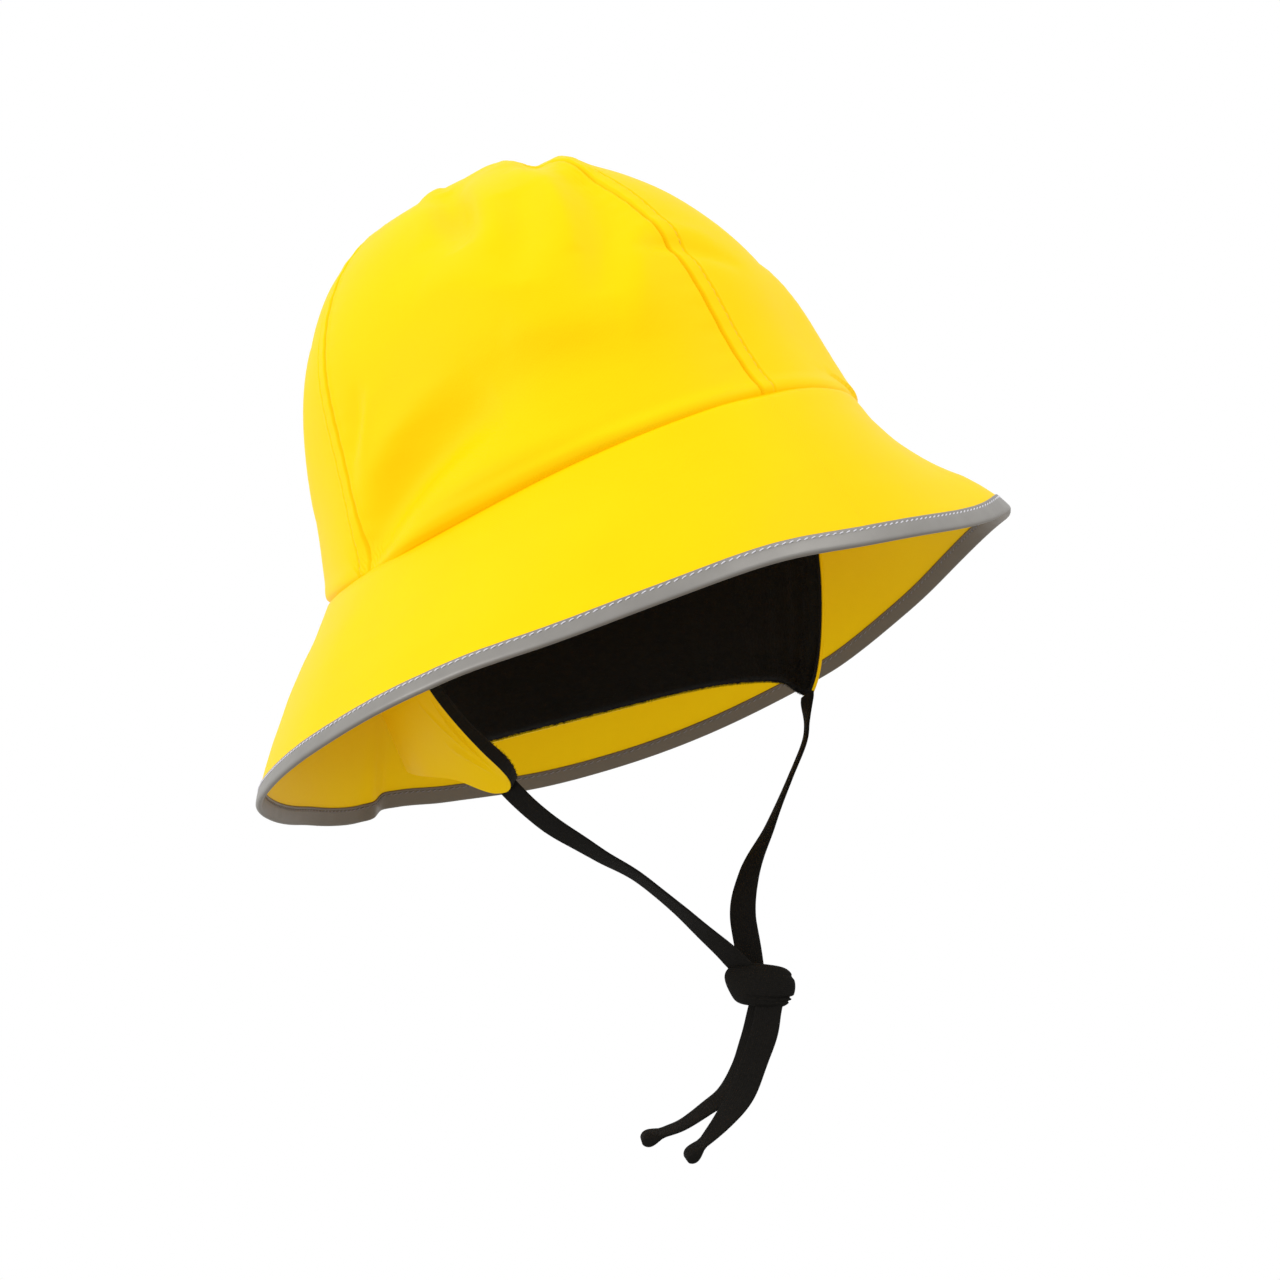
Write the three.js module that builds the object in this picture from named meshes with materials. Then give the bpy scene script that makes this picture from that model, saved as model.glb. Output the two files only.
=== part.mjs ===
// A sou'wester: a rain hat with a crown of four coated-cloth panels, a flared brim with a bound edge,
// a fleece-lined flap over the ears and neck, and two flat ties knotted under the chin.
// Millimetres. +Z is up through the crown, the front is -Y and the wearer's left is +X.
// The origin is the centre of the head opening, where the crown meets the brim.
// Angles are in degrees round the crown: 0 at the front, 90 at the wearer's left, 180 at the back.
import * as THREE from 'three';
import { mergeVertices } from 'three/addons/utils/BufferGeometryUtils.js';

// Driving sizes of the crown
const HEAD_WIDTH = 180;
const HEAD_LENGTH = 206;
const CROWN_HEIGHT = 116.5;
const CROWN_LEAN = 11;
const CROWN_FULLNESS = 1.8;
const CROWN_SLANT = CROWN_HEIGHT * 1.25;
const SEAM_DIP_AT_EARS = 4;
const SEAM_RISE_AT_BACK = 3;
const SIDE_SEAM_DRIFT = 20;
const TOP_OPENING = 2.4;

// Driving sizes of the brim and its binding
const BRIM_WIDTH = 67.5;
const BRIM_BELLY = 1.6;
const BINDING_WIDTH = 5.2;
const BINDING_CLOTH = 1;

// Driving sizes of the flap
const FLAP_DROP = 73;
const FLAP_INSET = 0.018;
const FLAP_TUCK_POWER = 4;
const FLEECE = 3.8;

// Driving sizes of the ties and the knot
const TIE_WIDTH = 8.5;
const TIE_THICKNESS = 1.3;
const TAIL_END_LENGTH = 6.5;
const TAIL_END_DEPTH = 3.2;
const KNOT_WIDTH = 22.5;
const KNOT_HEIGHT = 14.5;
const KNOT_DEPTH = 12;

// The cloth and the gap that every joint keeps
const CLOTH = 1;
const GAP = 0.3;

// Crown sections from the seam to the top. Height is a share of CROWN_HEIGHT, front and back are shares of
// half of HEAD_LENGTH, and side is a share of half of HEAD_WIDTH.
const CROWN_SECTIONS = [
  { height: 0.00, front: 1.02, side: 1.01, back: 0.98 },
  { height: 0.14, front: 0.96, side: 0.95, back: 0.97 },
  { height: 0.30, front: 0.95, side: 0.90, back: 0.94 },
  { height: 0.46, front: 0.92, side: 0.86, back: 0.83 },
  { height: 0.62, front: 0.83, side: 0.79, back: 0.69 },
  { height: 0.77, front: 0.69, side: 0.65, back: 0.61 },
  { height: 0.89, front: 0.50, side: 0.48, back: 0.48 },
  { height: 0.97, front: 0.29, side: 0.26, back: 0.28 },
  { height: 1.00, front: 0.00, side: 0.00, back: 0.00 },
];

// The soft roll where the crown sags on the brim. Valley is how far up the panel the crease above it runs,
// deep and bulge are shares of ROLL_DEPTH. The bulge sits at a share of the valley's height.
const ROLL_DEPTH = 5.5;
const ROLL_CREASE_WIDTH = 0.045;
const ROLL_BULGE_PLACE = 0.45;
const ROLL_BULGE_WIDTH = 0.28;
const CROWN_ROLL = [
  { angle: -180, valley: 0.12, deep: 0.10, bulge: 0.25 },
  { angle: -135, valley: 0.12, deep: 0.20, bulge: 0.30 },
  { angle: -100, valley: 0.09, deep: 0.05, bulge: 0.05 },
  { angle: -90, valley: 0.10, deep: 0.35, bulge: 0.10 },
  { angle: -80, valley: 0.14, deep: 0.85, bulge: 0.40 },
  { angle: -70, valley: 0.19, deep: 1.00, bulge: 0.65 },
  { angle: -58, valley: 0.22, deep: 0.90, bulge: 0.80 },
  { angle: -42, valley: 0.23, deep: 0.60, bulge: 0.75 },
  { angle: -25, valley: 0.20, deep: 0.30, bulge: 0.50 },
  { angle: -8, valley: 0.15, deep: 0.05, bulge: 0.15 },
  { angle: 20, valley: 0.14, deep: 0.05, bulge: 0.10 },
  { angle: 60, valley: 0.15, deep: 0.05, bulge: 0.05 },
  { angle: 88, valley: 0.12, deep: 0.10, bulge: 0.10 },
  { angle: 130, valley: 0.16, deep: 0.30, bulge: 0.35 },
];

// Dents and ridges of the crown. Up is the place between seam and top, turn tips the fold from level,
// long and wide are shares of FOLD_LENGTH, and rise is a share of FOLD_HEIGHT, below zero for a dent.
const FOLD_LENGTH = 30;
const FOLD_HEIGHT = 3;
const CROWN_FOLDS = [
  { angle: -42, up: 0.70, turn: 60, long: 0.50, wide: 0.28, rise: -1.15 },
  { angle: -53, up: 0.62, turn: 50, long: 0.60, wide: 0.35, rise: -0.35 },
  { angle: -26, up: 0.50, turn: 85, long: 0.95, wide: 0.30, rise: 0.80 },
  { angle: -17, up: 0.50, turn: 75, long: 0.75, wide: 0.28, rise: -0.70 },
  { angle: -22, up: 0.73, turn: 80, long: 0.40, wide: 0.30, rise: 0.50 },
  { angle: -2, up: 0.66, turn: 90, long: 0.45, wide: 0.35, rise: 0.75 },
  { angle: -77, up: 0.24, turn: 60, long: 0.85, wide: 0.20, rise: 0.55 },
  { angle: 1, up: 0.38, turn: -25, long: 0.60, wide: 0.16, rise: -0.60 },
  { angle: -70, up: 0.88, turn: 40, long: 0.30, wide: 0.25, rise: -0.45 },
  { angle: -112, up: 0.64, turn: 70, long: 0.45, wide: 0.30, rise: 0.40 },
  { angle: -128, up: 0.40, turn: 80, long: 0.80, wide: 0.32, rise: -0.70 },
  { angle: -158, up: 0.55, turn: 60, long: 0.70, wide: 0.35, rise: 0.55 },
  { angle: 54, up: 0.00, turn: 0, long: 0.90, wide: 0.70, rise: -1.20 },
  { angle: 34, up: 0.55, turn: 100, long: 0.90, wide: 0.32, rise: -0.70 },
  { angle: 52, up: 0.40, turn: 80, long: 0.70, wide: 0.35, rise: 0.50 },
  { angle: 120, up: 0.50, turn: 110, long: 0.85, wide: 0.35, rise: -0.75 },
  { angle: 152, up: 0.66, turn: 70, long: 0.60, wide: 0.35, rise: 0.60 },
];

// Brim sections. Width is a share of BRIM_WIDTH, slope is in degrees below level, and flare is a share of
// BRIM_WIDTH by which the brim hangs inside its straight line near the seam.
const BRIM_SECTIONS = [
  { angle: -180, width: 1.19, slope: 54.0, flare: 0.02 },
  { angle: -170, width: 1.15, slope: 53.2, flare: 0.02 },
  { angle: -166, width: 1.18, slope: 54.8, flare: 0.02 },
  { angle: -150, width: 1.12, slope: 54.9, flare: 0.00 },
  { angle: -120, width: 1.03, slope: 53.0, flare: -0.01 },
  { angle: -90, width: 0.96, slope: 50.3, flare: 0.00 },
  { angle: -60, width: 0.97, slope: 48.6, flare: 0.02 },
  { angle: -45, width: 1.00, slope: 51.8, flare: 0.02 },
  { angle: -30, width: 0.98, slope: 55.0, flare: 0.02 },
  { angle: -15, width: 0.93, slope: 60.0, flare: 0.01 },
  { angle: 0, width: 0.93, slope: 65.9, flare: 0.00 },
  { angle: 15, width: 0.92, slope: 65.9, flare: 0.02 },
  { angle: 30, width: 0.90, slope: 61.7, flare: 0.05 },
  { angle: 45, width: 0.85, slope: 53.8, flare: 0.05 },
  { angle: 60, width: 0.84, slope: 46.6, flare: 0.05 },
  { angle: 75, width: 0.86, slope: 41.8, flare: 0.05 },
  { angle: 90, width: 0.93, slope: 41.4, flare: 0.04 },
  { angle: 105, width: 1.08, slope: 42.6, flare: 0.03 },
  { angle: 120, width: 1.23, slope: 45.6, flare: 0.03 },
  { angle: 140, width: 1.33, slope: 48.3, flare: 0.02 },
  { angle: 160, width: 1.32, slope: 51.3, flare: 0.02 },
];

// Flap sections from its front edge at the wearer's left to the middle of the back; the right side mirrors
// them. Top and low are the angles of its sewn and free edges, drop is a share of FLAP_DROP, and lean and
// tuck are the shares of the crown's radius by which it draws in, evenly and towards the tip.
const FLAP_SECTIONS = [
  { top: 90, low: 96.5, drop: 1.00, lean: 0.17, tuck: 0.115 },
  { top: 96, low: 103, drop: 0.97, lean: 0.15, tuck: 0.080 },
  { top: 104, low: 110, drop: 0.90, lean: 0.12, tuck: 0.040 },
  { top: 116, low: 119, drop: 0.85, lean: 0.08, tuck: 0.010 },
  { top: 135, low: 135, drop: 0.80, lean: 0.04, tuck: 0.000 },
  { top: 157, low: 157, drop: 0.79, lean: 0.03, tuck: 0.000 },
  { top: 180, low: 180, drop: 0.78, lean: 0.03, tuck: 0.000 },
];

// Routes of the ties and tails, chosen by hand. Turn is how far the flat face is turned about its length.
const TIE_RIGHT_ROUTE = [
  { x: -62.1, y: 6.9, z: -77.9, turn: 42 },
  { x: -57.1, y: 7.0, z: -87.4, turn: 45 },
  { x: -49.4, y: 6.6, z: -96.4, turn: 48 },
  { x: -38.6, y: 6.1, z: -107.4, turn: 60 },
  { x: -27.6, y: 5.6, z: -118.0, turn: 68 },
  { x: -17.7, y: 5.0, z: -131.5, turn: 64 },
  { x: -8.3, y: 4.3, z: -146.2, turn: 48 },
  { x: -5.4, y: 4.1, z: -151.0, turn: 42 },
];
const TIE_LEFT_ROUTE = [
  { x: 62.2, y: 6.9, z: -77.7, turn: 86 },
  { x: 57.6, y: 7.2, z: -84.6, turn: 86 },
  { x: 52.1, y: 6.8, z: -91.5, turn: 84 },
  { x: 40.6, y: 6.0, z: -101.8, turn: 84 },
  { x: 27.0, y: 5.2, z: -113.8, turn: 74 },
  { x: 13.2, y: 6.0, z: -126.6, turn: 44 },
  { x: 6.2, y: 7.0, z: -138.8, turn: 12 },
  { x: 2.5, y: 6.4, z: -152.5, turn: 0 },
];
const TAIL_LEFT_ROUTE = [
  { x: -0.6, y: 2.0, z: -170.2, turn: 0 },
  { x: -2.9, y: 4.3, z: -175.7, turn: 0 },
  { x: -6.1, y: 7.6, z: -181.4, turn: 0 },
  { x: -10.4, y: 11.8, z: -188.6, turn: 8 },
  { x: -14.2, y: 15.4, z: -193.4, turn: 25 },
  { x: -19.6, y: 20.1, z: -198.2, turn: 50 },
  { x: -25.4, y: 24.9, z: -202.1, turn: 72 },
];
const TAIL_RIGHT_ROUTE = [
  { x: 1.8, y: 8.4, z: -168.0, turn: 25 },
  { x: -2.6, y: 14.4, z: -177.4, turn: 35 },
  { x: -6.5, y: 18.3, z: -183.9, turn: 45 },
  { x: -12.3, y: 23.5, z: -189.8, turn: 55 },
  { x: -17.8, y: 27.8, z: -192.3, turn: 62 },
  { x: -24.9, y: 33.3, z: -194.5, turn: 70 },
  { x: -30.1, y: 37.0, z: -194.8, turn: 74 },
];
const KNOT_CENTRE = new THREE.Vector3(0.6, 3.4, -161.0);
const KNOT_TURN = -36;
const KNOT_TILT = 20;

// Profile of the knot from its foot to its top. Out is a share of half of KNOT_WIDTH, up of KNOT_HEIGHT.
const KNOT_PROFILE = [
  { out: 0.00, up: -0.50 },
  { out: 0.62, up: -0.50 },
  { out: 0.92, up: -0.40 },
  { out: 1.00, up: -0.18 },
  { out: 0.94, up: -0.02 },
  { out: 1.00, up: 0.14 },
  { out: 0.94, up: 0.38 },
  { out: 0.60, up: 0.50 },
  { out: 0.00, up: 0.50 },
];

// The way a tie's flat face looks before its turn
const TIE_FACING = new THREE.Vector3(-0.58, -0.81, -0.1).normalize();

// Mesh steps
const PANEL_COLUMNS = 14;
const CROWN_ROWS = [0, 0.03, 0.07, 0.12, 0.17, 0.22, 0.28, 0.36, 0.46, 0.57, 0.68, 0.79, 0.9];
const BRIM_COLUMNS = 96;
const BRIM_ROWS = [0, 0.12, 0.3, 0.5, 0.7];
const FLAP_COLUMNS = 36;
const FLAP_ROWS = [0, 0.25, 0.5, 0.7, 0.86, 1];
const TIE_STEP = 4;
const TAIL_END_ARC_STEPS = 6;
const KNOT_SIDES = 18;

const radians = THREE.MathUtils.degToRad;
const fullTurn = 360;

// Curve through a column of a table, at a place counted in rows
function catmullRom(before, from, to, after, share) {
  const bend = 2 * before - 5 * from + 4 * to - after;
  const twist = -before + 3 * from - 3 * to + after;
  return 0.5 * (2 * from + share * (to - before + share * (bend + share * twist)));
}

function alongRows(rows, column, place) {
  const last = rows.length - 1;
  const row = THREE.MathUtils.clamp(Math.floor(place), 0, last - 1);
  const at = (index) => {
    if (index < 0) return 2 * rows[0][column] - rows[1][column];
    if (index > last) return 2 * rows[last][column] - rows[last - 1][column];
    return rows[index][column];
  };
  return catmullRom(at(row - 1), at(row), at(row + 1), at(row + 2), place - row);
}

// Curve round a closed table whose rows have an angle
function aroundRows(rows, column, angle) {
  const count = rows.length;
  const wrapped = THREE.MathUtils.euclideanModulo(angle - rows[0].angle, fullTurn) + rows[0].angle;
  let row = count - 1;
  while (rows[row].angle > wrapped) row -= 1;
  const next = row + 1 < count ? rows[row + 1].angle : rows[0].angle + fullTurn;
  const at = (index) => rows[(index + count) % count][column];
  const share = (wrapped - rows[row].angle) / (next - rows[row].angle);
  return catmullRom(at(row - 1), at(row), at(row + 1), at(row + 2), share);
}

// Point on a ring round the crown's axis
function polar(angle, radius, z, back = 0) {
  const turn = radians(angle);
  return new THREE.Vector3(radius * Math.sin(turn), back - radius * Math.cos(turn), z);
}

function bump(distance) {
  return Math.exp(-distance * distance);
}

// Crown: the section's radius, its soft body, and the dents and roll on it
function crownRadius(angle, up) {
  const place = up * (CROWN_SECTIONS.length - 1);
  const ahead = Math.cos(radians(angle));
  const lengthways = (HEAD_LENGTH / 2) * alongRows(CROWN_SECTIONS, ahead > 0 ? 'front' : 'back', place);
  const sideways = (HEAD_WIDTH / 2) * alongRows(CROWN_SECTIONS, 'side', place);
  const across = Math.abs(Math.sin(radians(angle))) / sideways;
  const along = Math.abs(ahead) / lengthways;
  return (across ** CROWN_FULLNESS + along ** CROWN_FULLNESS) ** (-1 / CROWN_FULLNESS);
}

function seamHeight(angle) {
  const turn = radians(angle);
  return SEAM_DIP_AT_EARS * Math.cos(2 * turn) - SEAM_RISE_AT_BACK * Math.cos(turn);
}

function crownBody(angle, up) {
  const height = alongRows(CROWN_SECTIONS, 'height', up * (CROWN_SECTIONS.length - 1));
  const wave = seamHeight(angle) * (1 - height) ** 2;
  return polar(angle, crownRadius(angle, up), CROWN_HEIGHT * height + wave, CROWN_LEAN * height);
}

function rollRelief(angle, up) {
  const valley = aroundRows(CROWN_ROLL, 'valley', angle);
  const crease = aroundRows(CROWN_ROLL, 'deep', angle) * bump((up - valley) / ROLL_CREASE_WIDTH);
  const belowValley = (up / valley - ROLL_BULGE_PLACE) / ROLL_BULGE_WIDTH;
  const bulge = aroundRows(CROWN_ROLL, 'bulge', angle) * bump(belowValley);
  return ROLL_DEPTH * (bulge - crease);
}

function foldRelief(angle, up) {
  const radius = crownRadius(angle, up);
  let relief = 0;
  for (const fold of CROWN_FOLDS) {
    const turned = THREE.MathUtils.euclideanModulo(angle - fold.angle + fullTurn / 2, fullTurn) - fullTurn / 2;
    const aside = radians(turned) * radius;
    const above = (up - fold.up) * CROWN_SLANT;
    const cos = Math.cos(radians(fold.turn));
    const sin = Math.sin(radians(fold.turn));
    const alongFold = (aside * cos + above * sin) / (fold.long * FOLD_LENGTH);
    const acrossFold = (above * cos - aside * sin) / (fold.wide * FOLD_LENGTH);
    relief += fold.rise * FOLD_HEIGHT * bump(alongFold) * bump(acrossFold);
  }
  return relief;
}

// Where a panel begins: seams at the front and back, and side seams that drift back towards the top
function panelSeam(quarter, up) {
  const drift = SIDE_SEAM_DRIFT * up ** 3;
  return [0, 90 + drift, 180, 270 - drift, 360][quarter];
}

// Normal of a surface given as a function of two numbers, from points a small step to each side
const ANGLE_STEP = 0.5;
const SHARE_STEP = 0.002;

function normalOf(surface, u, v, du, dv) {
  const across = surface(u + du, v).sub(surface(u - du, v));
  const down = surface(u, v + dv).sub(surface(u, v - dv));
  return across.cross(down).normalize();
}

function crownPoint(angle, up) {
  const relief = rollRelief(angle, up) + foldRelief(angle, up);
  return crownBody(angle, up).addScaledVector(normalOf(crownBody, angle, up, ANGLE_STEP, SHARE_STEP), relief);
}

// The crown's lower edge, which the brim and the flap follow
function seamPoint(angle) {
  return crownPoint(angle, 0);
}

// Closed wall between two skins, given as lists of columns of points. A ring closes on its first column.
function wallGeometry(outer, inner, ring) {
  const columns = outer.length;
  const rows = outer[0].length;
  const positions = [];
  for (const skin of [outer, inner]) {
    for (const column of skin) {
      for (const point of column) positions.push(point.x, point.y, point.z);
    }
  }
  const outside = (column, row) => (column % columns) * rows + row;
  const inside = (column, row) => columns * rows + outside(column, row);
  const index = [];
  const quad = (a, b, c, d) => index.push(a, b, c, a, c, d);
  const spans = ring ? columns : columns - 1;
  for (let column = 0; column < spans; column += 1) {
    const next = column + 1;
    for (let row = 0; row < rows - 1; row += 1) {
      quad(outside(column, row), outside(next, row), outside(next, row + 1), outside(column, row + 1));
      quad(inside(column, row), inside(column, row + 1), inside(next, row + 1), inside(next, row));
    }
    quad(outside(column, 0), inside(column, 0), inside(next, 0), outside(next, 0));
    quad(outside(column, rows - 1), outside(next, rows - 1), inside(next, rows - 1), inside(column, rows - 1));
  }
  if (!ring) {
    const end = columns - 1;
    for (let row = 0; row < rows - 1; row += 1) {
      quad(outside(0, row), outside(0, row + 1), inside(0, row + 1), inside(0, row));
      quad(outside(end, row), inside(end, row), inside(end, row + 1), outside(end, row + 1));
    }
  }
  const geometry = new THREE.BufferGeometry();
  geometry.setAttribute('position', new THREE.Float32BufferAttribute(positions, 3));
  geometry.setIndex(index);
  geometry.computeVertexNormals();
  return geometry;
}

function spread(from, to, steps) {
  return Array.from({ length: steps + 1 }, (_, step) => from + ((to - from) * step) / steps);
}

// One crown panel between two seams, each edge half a gap from its seam
function crownPanel(quarter) {
  const last = CROWN_ROWS.at(-1);
  const top = 1 - TOP_OPENING / HEAD_WIDTH;
  const outer = [];
  const inner = [];
  for (const share of spread(0, 1, PANEL_COLUMNS)) {
    const rows = [...CROWN_ROWS, (last + top) / 2, top].map((up) => {
      const from = panelSeam(quarter, up);
      const to = panelSeam(quarter + 1, up);
      const middle = crownRadius((from + to) / 2, up);
      const edge = THREE.MathUtils.radToDeg(Math.asin(GAP / 2 / middle));
      const angle = THREE.MathUtils.lerp(from + edge, to - edge, share);
      return { point: crownPoint(angle, up), normal: normalOf(crownPoint, angle, up, ANGLE_STEP, SHARE_STEP) };
    });
    outer.push(rows.map(({ point }) => point));
    inner.push(rows.map(({ point, normal }) => point.clone().addScaledVector(normal, -CLOTH)));
  }
  return wallGeometry(outer, inner, false);
}

// Width of the brim's cloth, inside the binding
function brimWidth(angle) {
  return BRIM_WIDTH * aroundRows(BRIM_SECTIONS, 'width', angle) - BINDING_CLOTH - GAP;
}

// Brim: from the seam outwards, share 0 at the seam and 1 at the edge of the cloth. The flare is greatest,
// at its full value, a third of the way out.
function brimPoint(angle, share) {
  const width = brimWidth(angle);
  const slope = radians(aroundRows(BRIM_SECTIONS, 'slope', angle));
  const nearSeam = (27 / 4) * share * (1 - share) ** 2;
  const hang = BRIM_WIDTH * aroundRows(BRIM_SECTIONS, 'flare', angle) * nearSeam;
  const lift = BRIM_BELLY * Math.sin(Math.PI * Math.min(share, 1)) - hang;
  const out = width * share * Math.cos(slope) + lift * Math.sin(slope);
  const down = width * share * Math.sin(slope) - lift * Math.cos(slope);
  return seamPoint(angle).add(polar(angle, out, -GAP - down));
}

function brimNormal(angle, share) {
  return normalOf(brimPoint, angle, share, ANGLE_STEP, -SHARE_STEP);
}

function bindingShare(angle) {
  return 1 - BINDING_WIDTH / brimWidth(angle);
}

function brim() {
  const outer = [];
  const inner = [];
  for (const angle of spread(0, fullTurn, BRIM_COLUMNS).slice(0, -1)) {
    const shares = [1, bindingShare(angle), ...BRIM_ROWS.toReversed()];
    outer.push(shares.map((share) => brimPoint(angle, share)));
    inner.push(shares.map((share) => brimPoint(angle, share).addScaledVector(brimNormal(angle, share), -CLOTH)));
  }
  return wallGeometry(outer, inner, true);
}

// Binding: a folded tape round the brim's edge, clear of the cloth by the gap
function brimBinding() {
  const outer = [];
  const inner = [];
  for (const angle of spread(0, fullTurn, BRIM_COLUMNS).slice(0, -1)) {
    const start = bindingShare(angle);
    const outward = brimPoint(angle, 1).sub(brimPoint(angle, start)).normalize();
    const at = (share, beyond, height) => brimPoint(angle, share)
      .addScaledVector(outward, beyond)
      .addScaledVector(brimNormal(angle, share), height);
    const under = -CLOTH - GAP;
    outer.push([
      at(start, 0, under - BINDING_CLOTH),
      at(1, 0, under - BINDING_CLOTH),
      at(1, GAP + BINDING_CLOTH, -CLOTH / 2),
      at(1, 0, GAP + BINDING_CLOTH),
      at(start, 0, GAP + BINDING_CLOTH),
    ]);
    inner.push([
      at(start, 0, under),
      at(1, 0, under),
      at(1, GAP, -CLOTH / 2),
      at(1, 0, GAP),
      at(start, 0, GAP),
    ]);
  }
  return wallGeometry(outer, inner, true);
}

// Flap: round is -1 at the right front edge, 0 at the back and 1 at the left front edge
function flapPoint(round, share) {
  const place = (1 - Math.abs(round)) * (FLAP_SECTIONS.length - 1);
  const section = (column) => alongRows(FLAP_SECTIONS, column, place);
  const side = round < 0 ? -1 : 1;
  const angle = side * (section('top') + (section('low') - section('top')) * share ** 2);
  const draw = FLAP_INSET + section('lean') * share + section('tuck') * Math.abs(share) ** FLAP_TUCK_POWER;
  const seam = seamPoint(angle);
  const top = seam.z - CLOTH - GAP;
  return seam.multiplyScalar(1 - draw).setZ(top - FLAP_DROP * section('drop') * share);
}

function flapWall(outside, inside) {
  const outer = [];
  const inner = [];
  for (const round of spread(-1, 1, FLAP_COLUMNS)) {
    const rows = FLAP_ROWS.map((share) => {
      const point = flapPoint(round, share);
      const normal = normalOf(flapPoint, round, share, -SHARE_STEP, -SHARE_STEP);
      return { point, normal };
    });
    outer.push(rows.map(({ point, normal }) => point.clone().addScaledVector(normal, -outside)));
    inner.push(rows.map(({ point, normal }) => point.clone().addScaledVector(normal, -inside)));
  }
  return wallGeometry(outer, inner, false);
}

// Flat tie: an extrusion whose face follows the turn column of its route
function routeCurve(route) {
  const curve = new THREE.CatmullRomCurve3(route.map(({ x, y, z }) => new THREE.Vector3(x, y, z)));
  curve.computeFrenetFrames = (steps) => {
    const frames = { tangents: [], normals: [], binormals: [] };
    for (const share of spread(0, 1, steps)) {
      const tangent = curve.getTangentAt(share);
      const place = curve.getUtoTmapping(share) * (route.length - 1);
      const normal = TIE_FACING.clone().addScaledVector(tangent, -TIE_FACING.dot(tangent)).normalize();
      normal.applyAxisAngle(tangent, radians(alongRows(route, 'turn', place)));
      frames.tangents.push(tangent);
      frames.normals.push(normal);
      frames.binormals.push(tangent.clone().cross(normal));
    }
    return frames;
  };
  return curve;
}

function tieSection(thickness) {
  const half = TIE_WIDTH / 2;
  const flat = half - thickness / 2;
  const side = thickness / 2;
  const corners = [
    [side, -flat], [side, 0], [side, flat], [0, half],
    [-side, flat], [-side, 0], [-side, -flat], [0, -half],
  ];
  return new THREE.Shape(corners.map(([x, y]) => new THREE.Vector2(x, y)));
}

function flatTie(route) {
  const curve = routeCurve(route);
  const steps = Math.round(curve.getLength() / TIE_STEP);
  return new THREE.ExtrudeGeometry(tieSection(TIE_THICKNESS), { steps, extrudePath: curve });
}

// Folded and stitched end of a tie: a drop shape across the tie, just beyond the end of its route
function foldedEnd(route) {
  const curve = routeCurve(route);
  const frames = curve.computeFrenetFrames(1);
  const outline = new THREE.Shape();
  const half = TAIL_END_DEPTH / 2;
  outline.moveTo(0, -TIE_THICKNESS / 2);
  outline.lineTo(TAIL_END_LENGTH - half, -half);
  outline.absarc(TAIL_END_LENGTH - half, 0, half, -Math.PI / 2, Math.PI / 2);
  outline.lineTo(0, TIE_THICKNESS / 2);
  const options = { depth: TIE_WIDTH, bevelEnabled: false, curveSegments: TAIL_END_ARC_STEPS };
  const geometry = new THREE.ExtrudeGeometry(outline, options);
  geometry.translate(GAP, 0, -TIE_WIDTH / 2);
  const turned = new THREE.Matrix4().makeBasis(frames.tangents[1], frames.normals[1], frames.binormals[1]);
  return geometry.applyMatrix4(turned.setPosition(curve.getPoint(1)));
}

// Knot: a wrapped band of two turns, wider than it is deep
function knot() {
  const points = KNOT_PROFILE.map(({ out, up }) => new THREE.Vector2((out * KNOT_WIDTH) / 2, up * KNOT_HEIGHT));
  const geometry = new THREE.LatheGeometry(points, KNOT_SIDES);
  geometry.scale(1, 1, KNOT_DEPTH / KNOT_WIDTH);
  geometry.rotateX(Math.PI / 2);
  return geometry;
}

// Materials and assembly
const yellowCoatedCloth = () => new THREE.MeshStandardMaterial({ color: 0xffdf1a, roughness: 0.5 });
const greyReflectiveTape = () => new THREE.MeshStandardMaterial({ color: 0x8c8c8a, roughness: 0.45 });
const blackFleece = () => new THREE.MeshStandardMaterial({ color: 0x0e0d0c, roughness: 0.95 });
const blackElastic = () => new THREE.MeshStandardMaterial({ color: 0x1e1d1a, roughness: 0.85 });

const hat = new THREE.Group();

function addPiece(name, geometry, material) {
  geometry.deleteAttribute('normal');
  if (geometry.hasAttribute('uv')) geometry.deleteAttribute('uv');
  const welded = mergeVertices(geometry, 1e-4);
  welded.computeVertexNormals();
  const mesh = new THREE.Mesh(welded, material);
  mesh.name = name;
  hat.add(mesh);
  return mesh;
}

addPiece('crown_panel_front_left', crownPanel(0), yellowCoatedCloth());
addPiece('crown_panel_back_left', crownPanel(1), yellowCoatedCloth());
addPiece('crown_panel_back_right', crownPanel(2), yellowCoatedCloth());
addPiece('crown_panel_front_right', crownPanel(3), yellowCoatedCloth());
addPiece('brim', brim(), yellowCoatedCloth());
addPiece('brim_binding', brimBinding(), greyReflectiveTape());
addPiece('flap_shell', flapWall(0, CLOTH), yellowCoatedCloth());
addPiece('flap_lining', flapWall(CLOTH + GAP, CLOTH + GAP + FLEECE), blackFleece());
addPiece('tie_right', flatTie(TIE_RIGHT_ROUTE), blackElastic());
addPiece('tie_left', flatTie(TIE_LEFT_ROUTE), blackElastic());
addPiece('tail_right', flatTie(TAIL_RIGHT_ROUTE), blackElastic());
addPiece('tail_left', flatTie(TAIL_LEFT_ROUTE), blackElastic());
addPiece('tail_end_right', foldedEnd(TAIL_RIGHT_ROUTE), blackElastic());
addPiece('tail_end_left', foldedEnd(TAIL_LEFT_ROUTE), blackElastic());

const knotPiece = addPiece('chin_knot', knot(), blackElastic());
knotPiece.position.copy(KNOT_CENTRE);
knotPiece.rotation.set(0, radians(KNOT_TILT), radians(KNOT_TURN), 'ZYX');

export default hat;
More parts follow.
